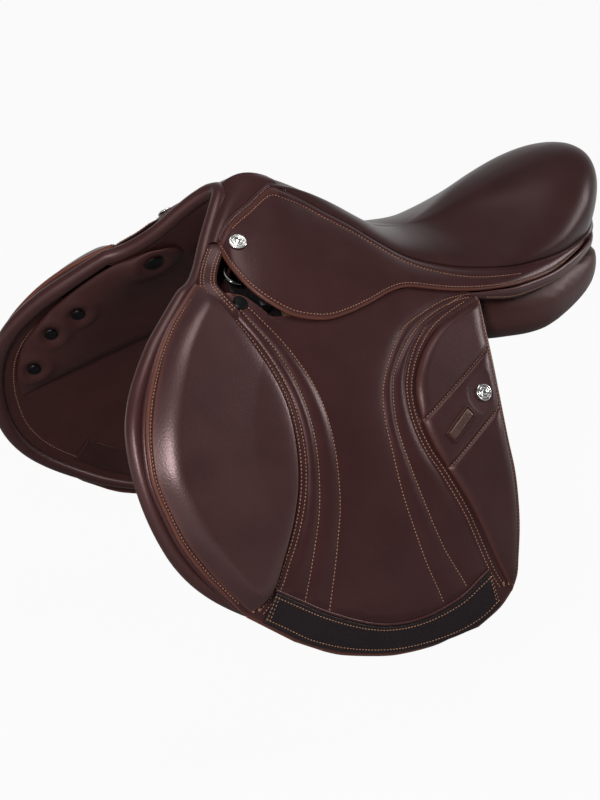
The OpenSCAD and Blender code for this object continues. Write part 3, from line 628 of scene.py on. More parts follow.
class Palette:
    """Materials by finish, and the putting on of a finish."""

    def __init__(self) -> None:
        grain, tone = grain_group(), tone_group()
        self.materials = {f: f.value.material(grain, tone) for f in Finish}

    def put(self, obj: Piece, finish: Finish) -> None:
        """Gives a piece one finish as its only material."""
        obj.data.materials.clear()
        obj.data.materials.append(self.materials[finish])


def attach(obj: Piece, ride: Ride, side: Side) -> None:
    """Makes a piece move with the saddle; for a flap or lobe it only works out the fold's ends and bakes the
    piece's place into its mesh, without making it bend.

    Args:
        obj: the piece.
        ride: what it moves with.
        side: side of the flap or lobe.
    """
    if ride is Ride.SADDLE:
        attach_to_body(obj, "saddle")
        return
    if ride is Ride.FLAP:
        body, (a, b) = "flap_body", (BARREL.point(0, z, 0) for z in FLAP_FOLD)
    else:
        a, down = SKIRT.chord()
        body, b = "skirt_lobe_body", a + LOBE_FOLD * down
    a, b = (Vector((p if side is Side.LEFT else flip(p)) * MM) for p in (a, b))
    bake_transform(obj)
    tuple(a)
    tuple(b)


def stitch_tree() -> bpy.types.NodeTree:
    """Geometry tree that lays thread along rows of points."""
    sizes = {"Pitch": 0.0033, "Length": 0.0022, "Width": 0.0011, "Height": 0.0010}
    inputs = {"Geometry": "Geometry", **dict.fromkeys(sizes, "Float"), "Material": "Material"}
    kit, given, out = new_group("Stitch rows", "GeometryNodeTree", inputs, {"Geometry": "Geometry"})
    for socket in kit.tree.interface.items_tree:
        if socket.name in sizes:
            socket.default_value = sizes[socket.name]
    lines = kit.add("GeometryNodeMeshToCurve")
    even = kit.add("GeometryNodeResampleCurve", mode="LENGTH")
    bead = kit.add("GeometryNodeMeshUVSphere", {"Segments": 6, "Rings": 5, "Radius": 0.5})
    turn = kit.add("GeometryNodeTransform", {"Rotation": (0, math.pi / 2, 0)})
    way = kit.add("GeometryNodeInputTangent")
    up = kit.add("GeometryNodeInputNamedAttribute", {"Name": "up"}, data_type="FLOAT_VECTOR")
    first = kit.add("FunctionNodeAlignRotationToVector", axis="X")
    second = kit.add("FunctionNodeAlignRotationToVector", axis="Z", pivot_axis="X")
    size = kit.add("ShaderNodeCombineXYZ")
    laid, real, dressed = (kit.add("GeometryNode" + kind)
                           for kind in ("InstanceOnPoints", "RealizeInstances", "SetMaterial"))
    kit.wire((given, "Geometry", lines, "Mesh"), (lines, "Curve", even, "Curve"),
             (given, "Pitch", even, "Length"), (bead, "Mesh", turn, "Geometry"),
             (way, "Tangent", first, "Vector"),
             (first, "Rotation", second, "Rotation"), (up, "Attribute", second, "Vector"),
             (given, "Length", size, "X"), (given, "Width", size, "Y"), (given, "Height", size, "Z"),
             (even, "Curve", laid, "Points"), (turn, "Geometry", laid, "Instance"),
             (second, "Rotation", laid, "Rotation"), (size, "Vector", laid, "Scale"),
             (laid, "Instances", real, "Geometry"), (real, "Geometry", dressed, "Geometry"),
             (given, "Material", dressed, "Material"), (dressed, "Geometry", out, "Geometry"))
    return kit.tree


@dataclass
class Stitching:
    """Rows of thread, gathered for each body and laid by one geometry tree."""

    palette: Palette
    rows: dict = field(default_factory=dict)

    def row(self, ride: Ride, side: Side, points: Array, up: Array) -> None:
        """Adds a row of left-side points, mirrored for the right, with the directions out of the leather."""
        if side is Side.RIGHT:
            points, up = flip(points), flip(up)
        key = (ride, Side.LEFT if ride is Ride.SADDLE else side)
        self.rows.setdefault(key, []).append((points, up))

    def build(self) -> None:
        """Lays every gathered row, one plain mesh for each body and side."""
        tree = stitch_tree()
        keys = {s.name: s.identifier for s in tree.interface.items_tree if s.in_out == "INPUT"}
        for (ride, side), rows in self.rows.items():
            ends = np.cumsum([0] + [len(p) for p, _ in rows])
            edges = [(i, i + 1) for a, b in zip(ends, ends[1:]) for i in range(a, b - 1)]
            mesh = bpy.data.meshes.new("rows")
            mesh.from_pydata((np.concatenate([p for p, _ in rows]) * MM).tolist(), edges, [])
            up = mesh.attributes.new("up", "FLOAT_VECTOR", "POINT")
            up.data.foreach_set("vector", np.concatenate([u for _, u in rows]).ravel())
            name = f"{'' if ride is Ride.SADDLE else side.prefix}{ride.value}_thread"
            obj = link(name, mesh)
            layer = obj.modifiers.new("Stitch rows", "NODES")
            layer.node_group = tree
            layer[keys["Material"]] = self.palette.materials[Finish.THREAD]
            apply_modifiers(obj)
            obj.data.shade_smooth()
            attach(obj, ride, side)
            LOG.info("%s: %d rows", name, len(rows))


@dataclass
class Assembly:
    """What the assemblies share: finishes, thread and the side they are on."""

    palette: Palette
    thread: Stitching
    side: Side = Side.LEFT

    def name(self, name: str) -> str:
        """Name of a piece or node on this side."""
        return self.side.prefix + name

    def done(self, obj: Piece, finish: Finish, *nodes: str, ride: Ride = Ride.SADDLE,
             fill: float = 0) -> None:
        """Finishes a piece.

        Args:
            obj: the piece.
            finish: its finish.
            nodes: CAD nodes that it stands for.
            ride: what it moves with.
            fill: how full it is, if it is padded; not used.
        """
        if nodes:
            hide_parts(*nodes)
        self.palette.put(obj, finish)
        attach(obj, ride, self.side)
        LOG.info("%s", obj.name)


@dataclass
class SeatAssembly(Assembly):
    """Seat leather, foam, web, pommel cap, cantle facing, rear welt and the long edge roll."""

    LAYERS = (("seat_cover_leather", "seat_cover", Finish.SEAT, (0, 2.4, 1, 150, 70), 0.9),
              ("seat_foam_fill", "seat_foam", Finish.FOAM, (3, 12, 0.92, 50, 20), 0),
              ("seat_web_cloth", "seat_web", Finish.WEB, (12.6, 14.4, 5 / 6, 50, 20), 0))
    RAY = 105
    CAP_REAR = ((60, -170, 146.6), (48.3, -152.5, 160.6), (33, -124.5, 171), (13.5, -84, 183.8),
        (0, -86, 190.4))
    CAP_FRONT = ((50, -177, 140.5), (38, -164, 156), (26, -151.5, 170.5), (12, -141, 181.5), (0, -137, 185.5))
    FACING = 26
    WELT = ((131.5, 60, 83.5), (130, 84, 80.5), (128.5, 108, 78.5), (124.5, 130, 79), (114, 171, 83),
        (98.5, 211, 92), (82, 239, 100), (70, 252, 102), (50, 267, 104), (26, 279, 107), (0, 283, 108.5))
    WELT_FLAT = 0.42
    WELT_SEAM = 0.3
    ROLL_SIDE = ((55, 66, 4.2), (54, 30, 4.2), (52, -30, 4.2), (49, -97, 4.2), (45, -133, 4.2),
        (36, -160, 4.2), (18, -179, 4.3), (-9, -190, 4.3), (-50, -193.5, 4.5), (-91, -192, 4.7),
        (-130, -185, 4.9), (-170, -171, 5.2), (-206, -152, 5.6), (-237, -133, 6), (-262, -112, 6.6),
        (-281, -87, 7), (-294, -57, 7.2), (-301, -28, 7.3), (-303, 0, 7.4), (-299, 27, 7.5), (-286, 53, 7.5),
        (-265, 78, 7.5), (-246, 95, 7.4))
    ROLL_TOP = ((86, -221, 107), (75, -203, 115), (60, -188.5, 127), (46, -177, 140), (34, -165, 155),
        (22, -153, 169), (10, -143, 179), (0, -140, 182))

    @staticmethod
    def dent(y: Array, d: float) -> Array:
        """How far the rider's twist is pressed into the foam at y, on a face that lies d deep."""
        return 6 * np.exp(-(((y - 60) / 75) ** 4)) * np.clip((12 - d) / 9, 0, 1)

    def layer(self, name: str, high: float, low: float, reach: float, rays: int, rings: int) -> Piece:
        """Dished layer of the seat.

        Args:
            name: name of the piece.
            high: depth of its upper face.
            low: depth of its lower face.
            reach: share of the rays that it covers.
            rays: rays on each side.
            rings: rings before its rounded edge.
        Returns:
            The piece.
        """
        s = np.concatenate([np.linspace(0, 1, rays + 1), np.linspace(1, 0, rays + 1)[1:-1]])
        sign = np.where(np.arange(2 * rays) <= rays, 1.0, -1.0)
        fine = 1 - 0.03 * np.array([0.75, 0.5, 0.28, 0.12, 0.03, 0])
        t = np.concatenate([np.linspace(0.02, 0.97, rings), fine]) * reach
        drop = eased_edge((1 - t / reach) * self.RAY, (low - high) / 2)[:, None]
        ss, tt = np.meshgrid(s, t)
        inside = 1 - tt**4
        steps = np.arange(-18, 19)
        weight = np.exp(-0.5 * (steps / 6) ** 2)
        faces, tips, c = [], [], np.array(SEAT.centre)
        for d, way in ((high, 1), (low, -1)):
            p = SEAT.point(ss, tt, d + way * drop + self.dent(SEAT.point(ss, tt, 0 * ss)[..., 1], d) * inside)
            p[..., 0] *= sign
            even = sum(w * np.roll(p, i, 1) for i, w in zip(steps, weight)) / weight.sum()
            faces.append(p + (even - p) * (inside * bell(ss, 0.14))[..., None])
            tips.append(c - UP * (d + self.dent(c[1], d)))
        return ringed(name, np.concatenate([faces[0], faces[1][::-1]]), np.array(tips))

    def build(self) -> None:
        """Makes the pieces along the middle of the saddle."""
        for name, node, finish, layout, fill in self.LAYERS:
            self.done(self.layer(name, *layout), finish, node, fill=fill)
        self.cap()
        self.facing()
        self.welt()
        self.roll()

    def cap(self) -> None:
        """Leather over the pommel and the piping beside it."""
        s, j = np.linspace(0, 1, 70), np.linspace(0, 1, 34)
        bulge = (j * (1 - j))[None, :, None] * (7 + 8 * s)[:, None, None] * np.array([0, -1, 2.0])
        outer = doubled(between(curve(self.CAP_REAR, s), curve(self.CAP_FRONT, s), j) + bulge)
        x = outer[..., 0]
        n = unit(np.stack([0.7 * x / 60, -0.35 + 0 * x, 0.8 + 0 * x], -1))
        drop = (0.9 * np.exp(-j * 28 / 5))[None, :, None]
        obj = slab("pommel_cap_leather", outer - n * drop, outer - n * (2.6 + drop))
        self.done(obj, Finish.LEATHER, "pommel_cap")
        v = np.linspace(0.01, SKIRT.share(3.1), 50)
        for side in Side:
            for end, w, r in (("front", -2.6, 1.3), ("rear", 0.2, 1.1)):
                path = SKIRT.point(v, w / SKIRT.width(v), -0.3)
                piping = tube(f"{side.prefix}pommel_piping_{end}", path, SKIRT.face(v, 0.1), r, 10, side)
                self.done(piping, Finish.ROLL)

    def facing(self) -> None:
        """Band under the cantle's seam."""
        rim = doubled(SEAT.point(np.linspace(0.72, 1, 50), 1, 0))
        out = SEAT.away(rim)
        j = spread(14, self.FACING, 2)
        base = rim[:, None] - UP * (1.5 + self.FACING * j)[None, :, None]
        bow = (0.6 + 1.2 * np.sin(math.pi * j) - 3 * j * j)[None, :, None]
        drop = eased_edge(nearest(j) * self.FACING, 1.4)[None, :, None]
        outer, inner = (base + out[:, None] * k for k in (bow - drop, drop - 1.6))
        self.done(slab("cantle_facing_leather", outer, inner), Finish.LEATHER, "cantle_facing")
        rim, out = rim[18:-18], out[18:-18]
        self.thread.row(Ride.SADDLE, self.side, rim - UP * 8.5 + out * 1.55, out)

    def welt(self) -> None:
        """Stitched welt below the skirts and the cantle."""
        path = doubled(along(self.WELT, np.linspace(0, 1, 110)))
        tall = np.interp(path[:, 1], [60, 90, 120, 210, 260], [2.5, 5.2, 6.6, 6.6, 5.8])
        away = SEAT.away(path)
        lean = unit(away * 0.35 + UP)
        obj = tube("rear_welt_leather", path, lean, tall, 20, flat=self.WELT_FLAT)
        self.done(obj, Finish.ROLL, "rear_welt")
        side = unit(np.cross(np.gradient(path, axis=0), lean))
        side = side * np.sign(np.sum(side * away, -1, keepdims=True))
        out = (self.WELT_FLAT * math.sqrt(1 - self.WELT_SEAM**2) * tall)[:, None]
        sewn = path + side * out - lean * (self.WELT_SEAM * tall)[:, None]
        self.thread.row(Ride.SADDLE, self.side, sewn[8:-8], side[8:-8])

    def roll(self) -> None:
        """Long roll round both panel edges and over the arch."""
        low, top = along(self.ROLL_SIDE, np.linspace(0, 1, 150)), along(self.ROLL_TOP, np.linspace(0, 1, 40))
        fore, x = np.clip((-150 - low[:, 0]) / 60, 0, 1), top[:, 0]
        path = np.concatenate([BARREL.point(low[:, 0] - fore * 2.2, low[:, 1], -13.6), top])
        up = np.concatenate([BARREL.out(low), unit(np.stack([x / 50, 0 * x - 0.55, 0 * x + 0.8], -1))])
        r = np.concatenate([low[:, 2] + fore * 0.8, 7.4 + 0 * x])
        both = along(np.concatenate([path, r[:, None], up], 1)[::3], np.linspace(0, 1, 190))
        r = np.concatenate([both[:, 3], both[-2::-1, 3]])
        obj = tube("edge_roll_leather", doubled(both[:, :3]), doubled(both[:, 4:]), r, 24)
        self.done(obj, Finish.ROLL, "edge_roll")


@dataclass
class SkirtAssembly(Assembly):
    """One skirt with its loose lobe, in one piece, and its stud."""

    LONG = 480
    THICK = 4
    SEAM = 5
    STUD = ((0.02, 0), (8.25, 0), (8.25, 0.8), (8.05, 1.3), (7.6, 1.65), (7.1, 1.7), (6.8, 1.5), (6.6, 0.5),
        (6.1, 0.5), (5.9, 1.6), (5.5, 2.2), (4.8, 2.5), (4.3, 2.5), (4.0, 2.3), (3.8, 1.3), (3.2, 1.3),
        (3.0, 2.3), (2.5, 2.7), (1.4, 2.95), (0.02, 3.05))

    @staticmethod
    def gap(v: Array) -> Array:
        """Distance of the upper stitching from the seat seam."""
        return 12.5 + 5.5 * smooth((v - 0.45) / 0.3)

    def build(self) -> None:
        """Makes the skirt, its stitching and its stud."""
        vv, ww = np.meshgrid(spread(250, self.LONG), spread(44, 60), indexing="ij")
        wide, gap = SKIRT.width(vv), self.gap(vv)
        low, top = (1 - ww) * wide, ww * wide
        drop = eased_edge(np.minimum(np.minimum(low, top), nearest(vv) * self.LONG), self.THICK / 2)
        fade = smooth((0.84 - vv) / 0.2)
        groove = 0.5 * bell(low - self.SEAM, 1.3) + 0.6 * bell(top - gap, 1.3) * fade
        puff = 0.9 * np.sin(math.pi * np.clip(top / gap, 0, 1)) * fade
        outer, inner = SKIRT.point(vv, ww, drop + groove - puff), SKIRT.point(vv, ww, self.THICK - drop)
        wear = bell(low, 2.2) * 0.9 + 0.3 * bell(top - 6, 5) * (vv < 0.2)
        obj = slab(self.name("skirt_leather"), outer, inner, self.side, wear)
        self.done(obj, Finish.LEATHER, self.name("skirt"), self.name("skirt_lobe"), ride=Ride.LOBE)
        lower, upper = np.linspace(0.015, 0.968, 300), np.linspace(SKIRT.share(1.15), 0.81, 260)
        lower, upper = (k[SKIRT.width(k) > 14] for k in (lower, upper))
        shares = 1 - self.SEAM / SKIRT.width(lower), self.gap(upper) / SKIRT.width(upper)
        for k, w in zip((lower, upper), shares):
            self.thread.row(Ride.LOBE, self.side, SKIRT.point(k, w, 0.12), SKIRT.face(k, w))
        k = np.linspace(SKIRT.share(2.9), 1, 220)
        path = SKIRT.point(k, -1.2 / SKIRT.width(k), 2.2)
        self.done(tube(self.name("seat_seam"), path, SKIRT.face(k, 0.1), 2.3, 12, self.side), Finish.SEAT)
        at = SKIRT.share(1.3), 0.5
        n = SKIRT.face(*at)
        stud = turned(self.name("skirt_button"), SKIRT.point(*at, 0.0) + 0.5 * n, n, self.STUD, self.side)
        self.done(stud, Finish.NICKEL, self.name("skirt_stud"))


@dataclass(frozen=True)
class FlapLines:
    """Edges, seams and channels of the flap as places, top to bottom or front to rear."""

    front: tuple = ((-209, 117), (-227, 107), (-249, 92), (-266, 76), (-279.5, 59), (-291.5, 39), (-300, 16),
        (-303.5, -8), (-302.5, -26), (-296.5, -48), (-287, -74), (-271, -100), (-255, -120), (-241, -137))
    knee: tuple = ((-208, 116), (-195, 95), (-182, 72), (-170, 45), (-163, 18), (-163, -14), (-169, -47),
        (-181, -78), (-196, -105), (-209, -126), (-234, -145))
    first: tuple = ((-186, 108), (-174, 86), (-157, 58), (-146, 26), (-143, -12), (-150, -62), (-163, -103),
        (-180, -150), (-190, -176))
    second: tuple = ((-180, 107), (-163, 86), (-144, 58), (-130, 26), (-125, -12), (-129, -62), (-139, -103),
        (-154, -158), (-160, -192))
    third: tuple = ((69, 81), (36, 80), (5, 73), (-25, 62), (-46, 43), (-62, 20), (-68, -4), (-67, -34),
        (-63, -74), (-49, -130), (-32, -176), (-26, -210))
    fourth: tuple = ((69, 79), (40, 77), (8, 69), (-17, 57), (-40, 38), (-52, 19), (-57, -10), (-53, -40),
        (-42, -82), (-27, -125), (-5, -167), (6, -206))
    calf: tuple = ((69, 77), (36, 68), (8, 57), (-15, 39), (-30, 16), (-32, -9), (-25, -34), (-13, -56),
        (6, -95), (27, -150), (45, -180))
    rear: tuple = ((70, 75), (66, 53), (63, 25), (61, -8), (61, -41), (63, -74), (61, -114), (56, -148),
        (53, -165), (46, -179))
    crest: tuple = ((-180, 107), (-170, 103.5), (-160, 94), (-150, 86), (-110, 85), (-70, 86), (-58, 90),
        (-30, 91), (10, 92), (45, 85.5), (69, 81))
    foot: tuple = ((-160, -192), (-140, -200), (-100, -210), (-75, -213), (-45, -213), (-26, -210))
    heel: tuple = ((6, -206), (31, -193), (45, -180))
    band_top: tuple = ((-205, -128), (-182, -142), (-153, -159), (-113, -177), (-81, -184), (-48, -183),
        (-14, -174), (9, -161), (20, -155))
    band_low: tuple = ((-220, -152), (-199, -166), (-176, -181), (-140, -196), (-96, -207), (-59, -210),
        (-20, -208), (9, -201), (30, -188))
    pad_front: tuple = ((-213, 112), (-230, 101), (-250, 86), (-265, 71), (-277.5, 53), (-287, 36),
        (-295.5, 14), (-299, -8), (-298, -26), (-292, -47), (-282.5, -72), (-267, -97), (-252, -117),
        (-238, -133), (-232, -140))
    pad_seam: tuple = ((-209.5, 114), (-196, 94), (-183, 71.5), (-171.2, 45), (-164.4, 18), (-164.4, -13.5),
        (-170.4, -46.5), (-182.4, -77.5), (-197.2, -104.5), (-209.5, -124.5), (-229, -141))
    calf_seam: tuple = ((67, 75), (36, 66.5), (8.5, 55.5), (-14, 38), (-28.5, 15), (-29, -12), (-22.5, -35),
        (-12, -56), (2, -82), (13, -106), (23, -132), (33, -156), (43, -175))
    calf_rear: tuple = ((67.5, 74), (63.5, 62), (61.5, 55), (60.5, 49), (59.7, 43), (59, 37), (57, 12),
        (56, -12), (56.5, -45), (58, -78), (56, -112), (51.5, -145), (47, -166))


@dataclass
class FlapAssembly(Assembly):
    """One flap with head, pads, band, keeper and stud."""

    lines: FlapLines = FlapLines()

    TALL = 310
    THICK = 5
    INSIDE = 99
    PAD_FACE = 5.3
    PAD_BACK = 5.1
    CALF_TALL = 270
    CALF_HIGH = 6.3
    CALF_SEAMS = (5, 7)
    CALF_SEAM_SHARE = 0.5
    BAND_LONG = 260
    STRIPS = ("front", "knee", "first", "second", "third", "fourth", "calf", "rear")
    RIDGE = 2.1
    DOUBLE_SEAM = (3.0, 7.6)
    ON_CHANNEL, ON_TAPE, ON_EDGE, ON_BAND, ON_TACK = 5.15, 5.6, 5.0, 7.15, 6.0
    CHANNELS = (("first", 0.03, 0.9), ("second", 0.05, 0.88), ("third", 0.02, 0.9), ("fourth", 0.02, 0.88))
    TACKS = ((-219, 103.5), (-226, -139), (38, -170))
    STUD_AT = (39, 1)
    HOLLOW, HOLLOW_HIGH = 18, 5.6
    KEEPER = (("keeper_frame", 18.5, 7, 0, 2.6, Finish.SEAT),
              ("keeper_strap", 15.8, 4.7, 0.2, 2.2, Finish.KEEPER))
    KEEPER_AT = (7, -21)
    ON_PAD = 11.0
    TONGUE = ((119, -189, 95.5), (106.5, -196.5, 108.2), (95, -199, 116.5), (84.5, -194.5, 123.3),
        (74, -186.5, 131), (64, -176, 141.5))
    TONGUE_HALF = 8.5
    TONGUE_FLAT = 0.22
    # Place and depths of the dark sheet that paints the shade in the hollow behind the stirrup bar.
    BACKING_Y, BACKING_Z, BACKING_FACES = (-172, -56), (78, 124), (-8.6, -9.6)

    def build(self) -> None:
        """Makes every piece of the flap and its stitching."""
        self.leaf()
        self.sew_leaf()
        self.knee()
        self.calf()
        self.band()
        self.keeper()
        self.tongue()

    def flap_piece(self, obj: Piece, finish: Finish, *nodes: str, fill: float = 0) -> None:
        """Finishes a piece of the flap."""
        self.done(obj, finish, *map(self.name, nodes), ride=Ride.FLAP, fill=fill)

    def sew(self, line: Array, d: Array) -> None:
        """Adds a row of thread along a line of places."""
        self.thread.row(Ride.FLAP, self.side, BARREL.lay(line, d), BARREL.out(line))

    def relief(self, strip: str, share: Array, wide: Array) -> Array:
        """Height of the quilting on one strip of the leaf.

        Args:
            strip: line that the strip starts from.
            share: shares across the strip.
            wide: width of the strip at each row.
        Returns:
            One height for each row and share.
        """
        x, y = share * wide, (1 - share) * wide
        if strip in ("front", "calf"):
            return 0 * x
        if strip == "second":
            return 1.9 * (1 - np.exp(-x / 9)) * (1 - np.exp(-y / 9))
        if strip in ("first", "third"):
            return np.sin(math.pi * share) * self.RIDGE + 0 * wide
        x = x if strip == "knee" else y
        tape = np.clip(np.minimum(9.5, 0.55 * wide), 1, None)
        ridge = np.sin(math.pi * np.clip((x - tape) / np.maximum(wide - tape, 1), 0, 1)) * self.RIDGE
        rows = sum(bell(x - row, 0.9) for row in self.DOUBLE_SEAM)
        return np.where(x < tape, 0.75 * swell(x / 1.2) * swell((tape - x) / 1.5) - 0.4 * rows, ridge)

    def leaf(self) -> None:
        """The leather sheet with its quilted channels."""
        f = self.lines
        v = spread(215, self.TALL, 4)
        at = {k: along(getattr(f, k), v) for k in self.STRIPS}
        shares = [np.concatenate([spread(34, 90, 4)[:-6], [0.985]])]
        shares += [np.linspace(0, 1, n, endpoint=False) for n in (24, 16, 52, 14, 22)]
        shares += [np.concatenate([[0, 0.03], spread(30, 70, 4)[6:]])]
        upper, lower = (1 - v) ** 6, v**6
        bends = (("second", f.crest, upper, 0), ("second", f.foot, lower, -1), ("fourth", f.heel, lower, -1))
        places, heights, edges = [], [], []
        for a, b, share in zip(self.STRIPS, self.STRIPS[1:], shares):
            p = between(at[a], at[b], share)
            for strip, line, fade, row in bends:
                if strip == a:
                    p = p + fade[:, None, None] * (along(line, share) - p[row])
            wide = apart(at[a], at[b])
            lid = np.interp(p[..., 0], *np.transpose(f.band_top))
            soft = np.clip(wide / 12, 0, 1) * np.clip((p[..., 1] - lid) / 9, 0, 1)
            heights.append(self.relief(a, share, wide) * soft)
            places.append(p)
            outer = {"front": share * wide, "calf": (1 - share) * wide}
            edges.append(outer.get(a, self.INSIDE + 0 * p[..., 0]))
        p, h, e = (np.concatenate(k, 1) for k in (places, heights, edges))
        e = np.minimum(e, nearest(v)[:, None] * self.TALL)
        drop = eased_edge(e, self.THICK / 2)
        outer, inner = BARREL.lay(p, self.THICK + h - drop), BARREL.lay(p, drop)
        obj = slab(self.name("flap_leather"), outer, inner, self.side, bell(e, 2.6))
        self.flap_piece(obj, Finish.LEATHER, "flap", "flap_head")

    def sew_leaf(self) -> None:
        """Thread of the leaf, and the welt behind its front edge."""
        f = self.lines
        t = np.linspace(0, 1, 240)
        for name, first, last in self.CHANNELS:
            self.sew(along(getattr(f, name), first + (last - first) * t), self.ON_CHANNEL)
        for line, sign in ((f.knee, 1), (f.calf, -1)):
            for gap in self.DOUBLE_SEAM:
                self.sew(aside(along(line, 0.055 + 0.9 * t), sign * gap), self.ON_TAPE)
        for line, gap in ((f.front, 3.4), (f.rear, -3.2)):
            self.sew(aside(along(line, 0.01 + 0.97 * t), gap), self.ON_EDGE)
        welt = along(f.front, np.linspace(0, 1, 150)) + np.array([1.2, 0.2])
        obj = tube(self.name("flap_welt"), BARREL.lay(welt, -3.4), BARREL.out(welt), 2.7, 14, self.side)
        self.flap_piece(obj, Finish.ROLL)

    def tongue(self) -> None:
        """Stitched strip beside the roll, up to the skirt's corner, and a dark sheet that paints the shade
        behind the bar.
        """
        path = along(self.TONGUE, np.linspace(0, 1, 60))
        way = unit(np.gradient(path, axis=0))
        lean = np.array([0.62, -0.35, 0.7])
        n = unit(lean - np.sum(lean * way, -1, keepdims=True) * way)
        across = np.cross(way, n)
        obj = tube(self.name("flap_tongue"), path, across, self.TONGUE_HALF, 24, self.side, self.TONGUE_FLAT)
        self.done(obj, Finish.LEATHER)
        path, across, n = path[2:-2], across[2:-2], n[2:-2]
        for k in (-6.0, -3.2, 3.2, 6.0):
            lift = self.TONGUE_HALF * self.TONGUE_FLAT * math.sqrt(1 - (k / self.TONGUE_HALF) ** 2)
            self.thread.row(Ride.SADDLE, self.side, path + across * k + n * lift, n)
        # Painted shade: a dark sheet fills the hollow behind the stirrup bar, where the skirt's shadow falls.
        y, z = np.meshgrid(np.linspace(*self.BACKING_Y, 40), np.linspace(*self.BACKING_Z, 20), indexing="ij")
        outer, inner = (BARREL.point(y, z, d) for d in self.BACKING_FACES)
        self.done(slab(self.name("bar_shade_sheet"), outer, inner, self.side), Finish.BAND)

    def pad(self, name: str, p: Array, height: Array, edge: Array) -> Piece:
        """Closed pad over a grid of places, with its height over the leather and distance from its edge."""
        outer, inner = BARREL.lay(p, self.PAD_FACE + height), BARREL.lay(p, self.PAD_BACK)
        return slab(self.name(name), outer, inner, self.side, 0.5 * bell(edge, 2.5))

    def knee(self) -> None:
        """Puffed knee pad with a broad rounded front."""
        f, tall, front = self.lines, 300, 23
        v, u = spread(150, tall, 4), spread(64, 100, 5)
        a, b = along(f.pad_front, v), along(f.pad_seam, v)
        x, y = u * apart(a, b), (1 - u) * apart(a, b)
        h = 12 * np.sin(0.5 * math.pi * np.clip(x / front, 0, 1))
        h = h * (1 - 0.45 * np.clip((x - front) / 70, 0, 1))
        h = h * (0.62 + 0.38 * swell(y / 16)) * swell(y / 1.0) * swell(nearest(v)[:, None] * tall / 34)
        obj = self.pad("knee_pad_leather", between(a, b, u), h, np.minimum(x, y))
        self.flap_piece(obj, Finish.PAD, "knee_pad", fill=0.8)

    def calf(self) -> None:
        """Calf pad in three puffed panels."""
        f, tall = self.lines, self.CALF_TALL
        seams = [k / (len(f.calf_seam) - 1) for k in self.CALF_SEAMS]
        near = np.array([-3, -2, -1.2, -0.6, 0, 0.6, 1.2, 2, 3]) / tall
        v = np.unique(np.concatenate([spread(190, tall, 4), *(s + near for s in seams)]))
        u = spread(60, 80, 5)
        a, b = curve(f.calf_seam, v), curve(f.calf_rear, v)
        x, y = u * apart(a, b), (1 - u) * apart(a, b)
        h = self.puff(x, y) * swell(nearest(v)[:, None] * tall / 16)
        for s in seams:
            gap = np.abs(v - s)[:, None] * tall
            sunk = self.CALF_SEAM_SHARE + (1 - self.CALF_SEAM_SHARE) * swell(gap / 14)
            h = h * sunk - np.minimum(h, 1.1) * bell(gap, 1.7)
        p = between(a, b, u)
        far = np.hypot(p[..., 0] - self.STUD_AT[0], p[..., 1] - self.STUD_AT[1])
        sunk = np.minimum(h, self.HOLLOW_HIGH + 0.02 * far) + (np.clip(far / self.HOLLOW, 0, 1) - 1) * 0.4
        h = np.where(far < self.HOLLOW, sunk, h)
        obj = self.pad("calf_pad_leather", p, np.maximum(h, 0), np.minimum(x, y))
        self.flap_piece(obj, Finish.CALF, "calf_pad", fill=0.7)
        t = np.linspace(0.05, 0.96, 60)
        for k in self.CALF_SEAMS:
            a, b = np.array(f.calf_seam[k]), np.array(f.calf_rear[k])
            wide = np.linalg.norm(b - a)
            lift = np.maximum(self.puff(t * wide, (1 - t) * wide) * self.CALF_SEAM_SHARE - 0.15, 0.3)
            self.sew(a + (b - a) * t[:, None], self.PAD_FACE + lift)

    def puff(self, x: Array, y: Array) -> Array:
        """Height of the calf pad at distances from its two long edges."""
        return self.CALF_HIGH * swell(x / 12) * swell(y / 14)

    def band(self) -> None:
        """Dark band along the lower edge with piping above it, and the tacks at the pads' ends."""
        f = self.lines
        v, u = spread(130, self.BAND_LONG), spread(14, 26)
        a, b = curve(f.band_top, v), curve(f.band_low, v)
        edge = np.minimum(nearest(u) * apart(a, b), nearest(v)[:, None] * self.BAND_LONG)
        h = 2.0 * swell(edge / 1.5) - 0.3 * bell(edge - 3.6, 1.0)
        self.flap_piece(self.pad("flap_band_leather", between(a, b, u), h, edge), Finish.BAND, "flap_band")
        t = np.linspace(0.012, 0.988, 200)
        for k in (0.14, 0.86):
            self.sew(curve(f.band_top, t) * (1 - k) + curve(f.band_low, t) * k, self.ON_BAND)
        k = np.linspace(0.14, 0.86, 12)[:, None]
        for end in (0.012, 0.03, 0.97, 0.988):
            a, b = (curve(line, np.array([end])) for line in (f.band_top, f.band_low))
            self.sew(a * (1 - k) + b * k, self.ON_BAND)
        line = curve(f.band_top, np.linspace(0, 1, 150)) + np.array([0, 1.6])
        piping = tube(self.name("band_piping"), BARREL.lay(line, 5.9), BARREL.out(line), 1.4, 10, self.side)
        self.flap_piece(piping, Finish.ROLL)
        k = np.linspace(-1, 1, 8)
        for y, z in self.TACKS:
            for row in (-1.6, -0.8, 0, 0.8, 1.6):
                self.sew(np.stack([y + 2.8 * k, z + row + 0 * k], -1), self.ON_TACK)

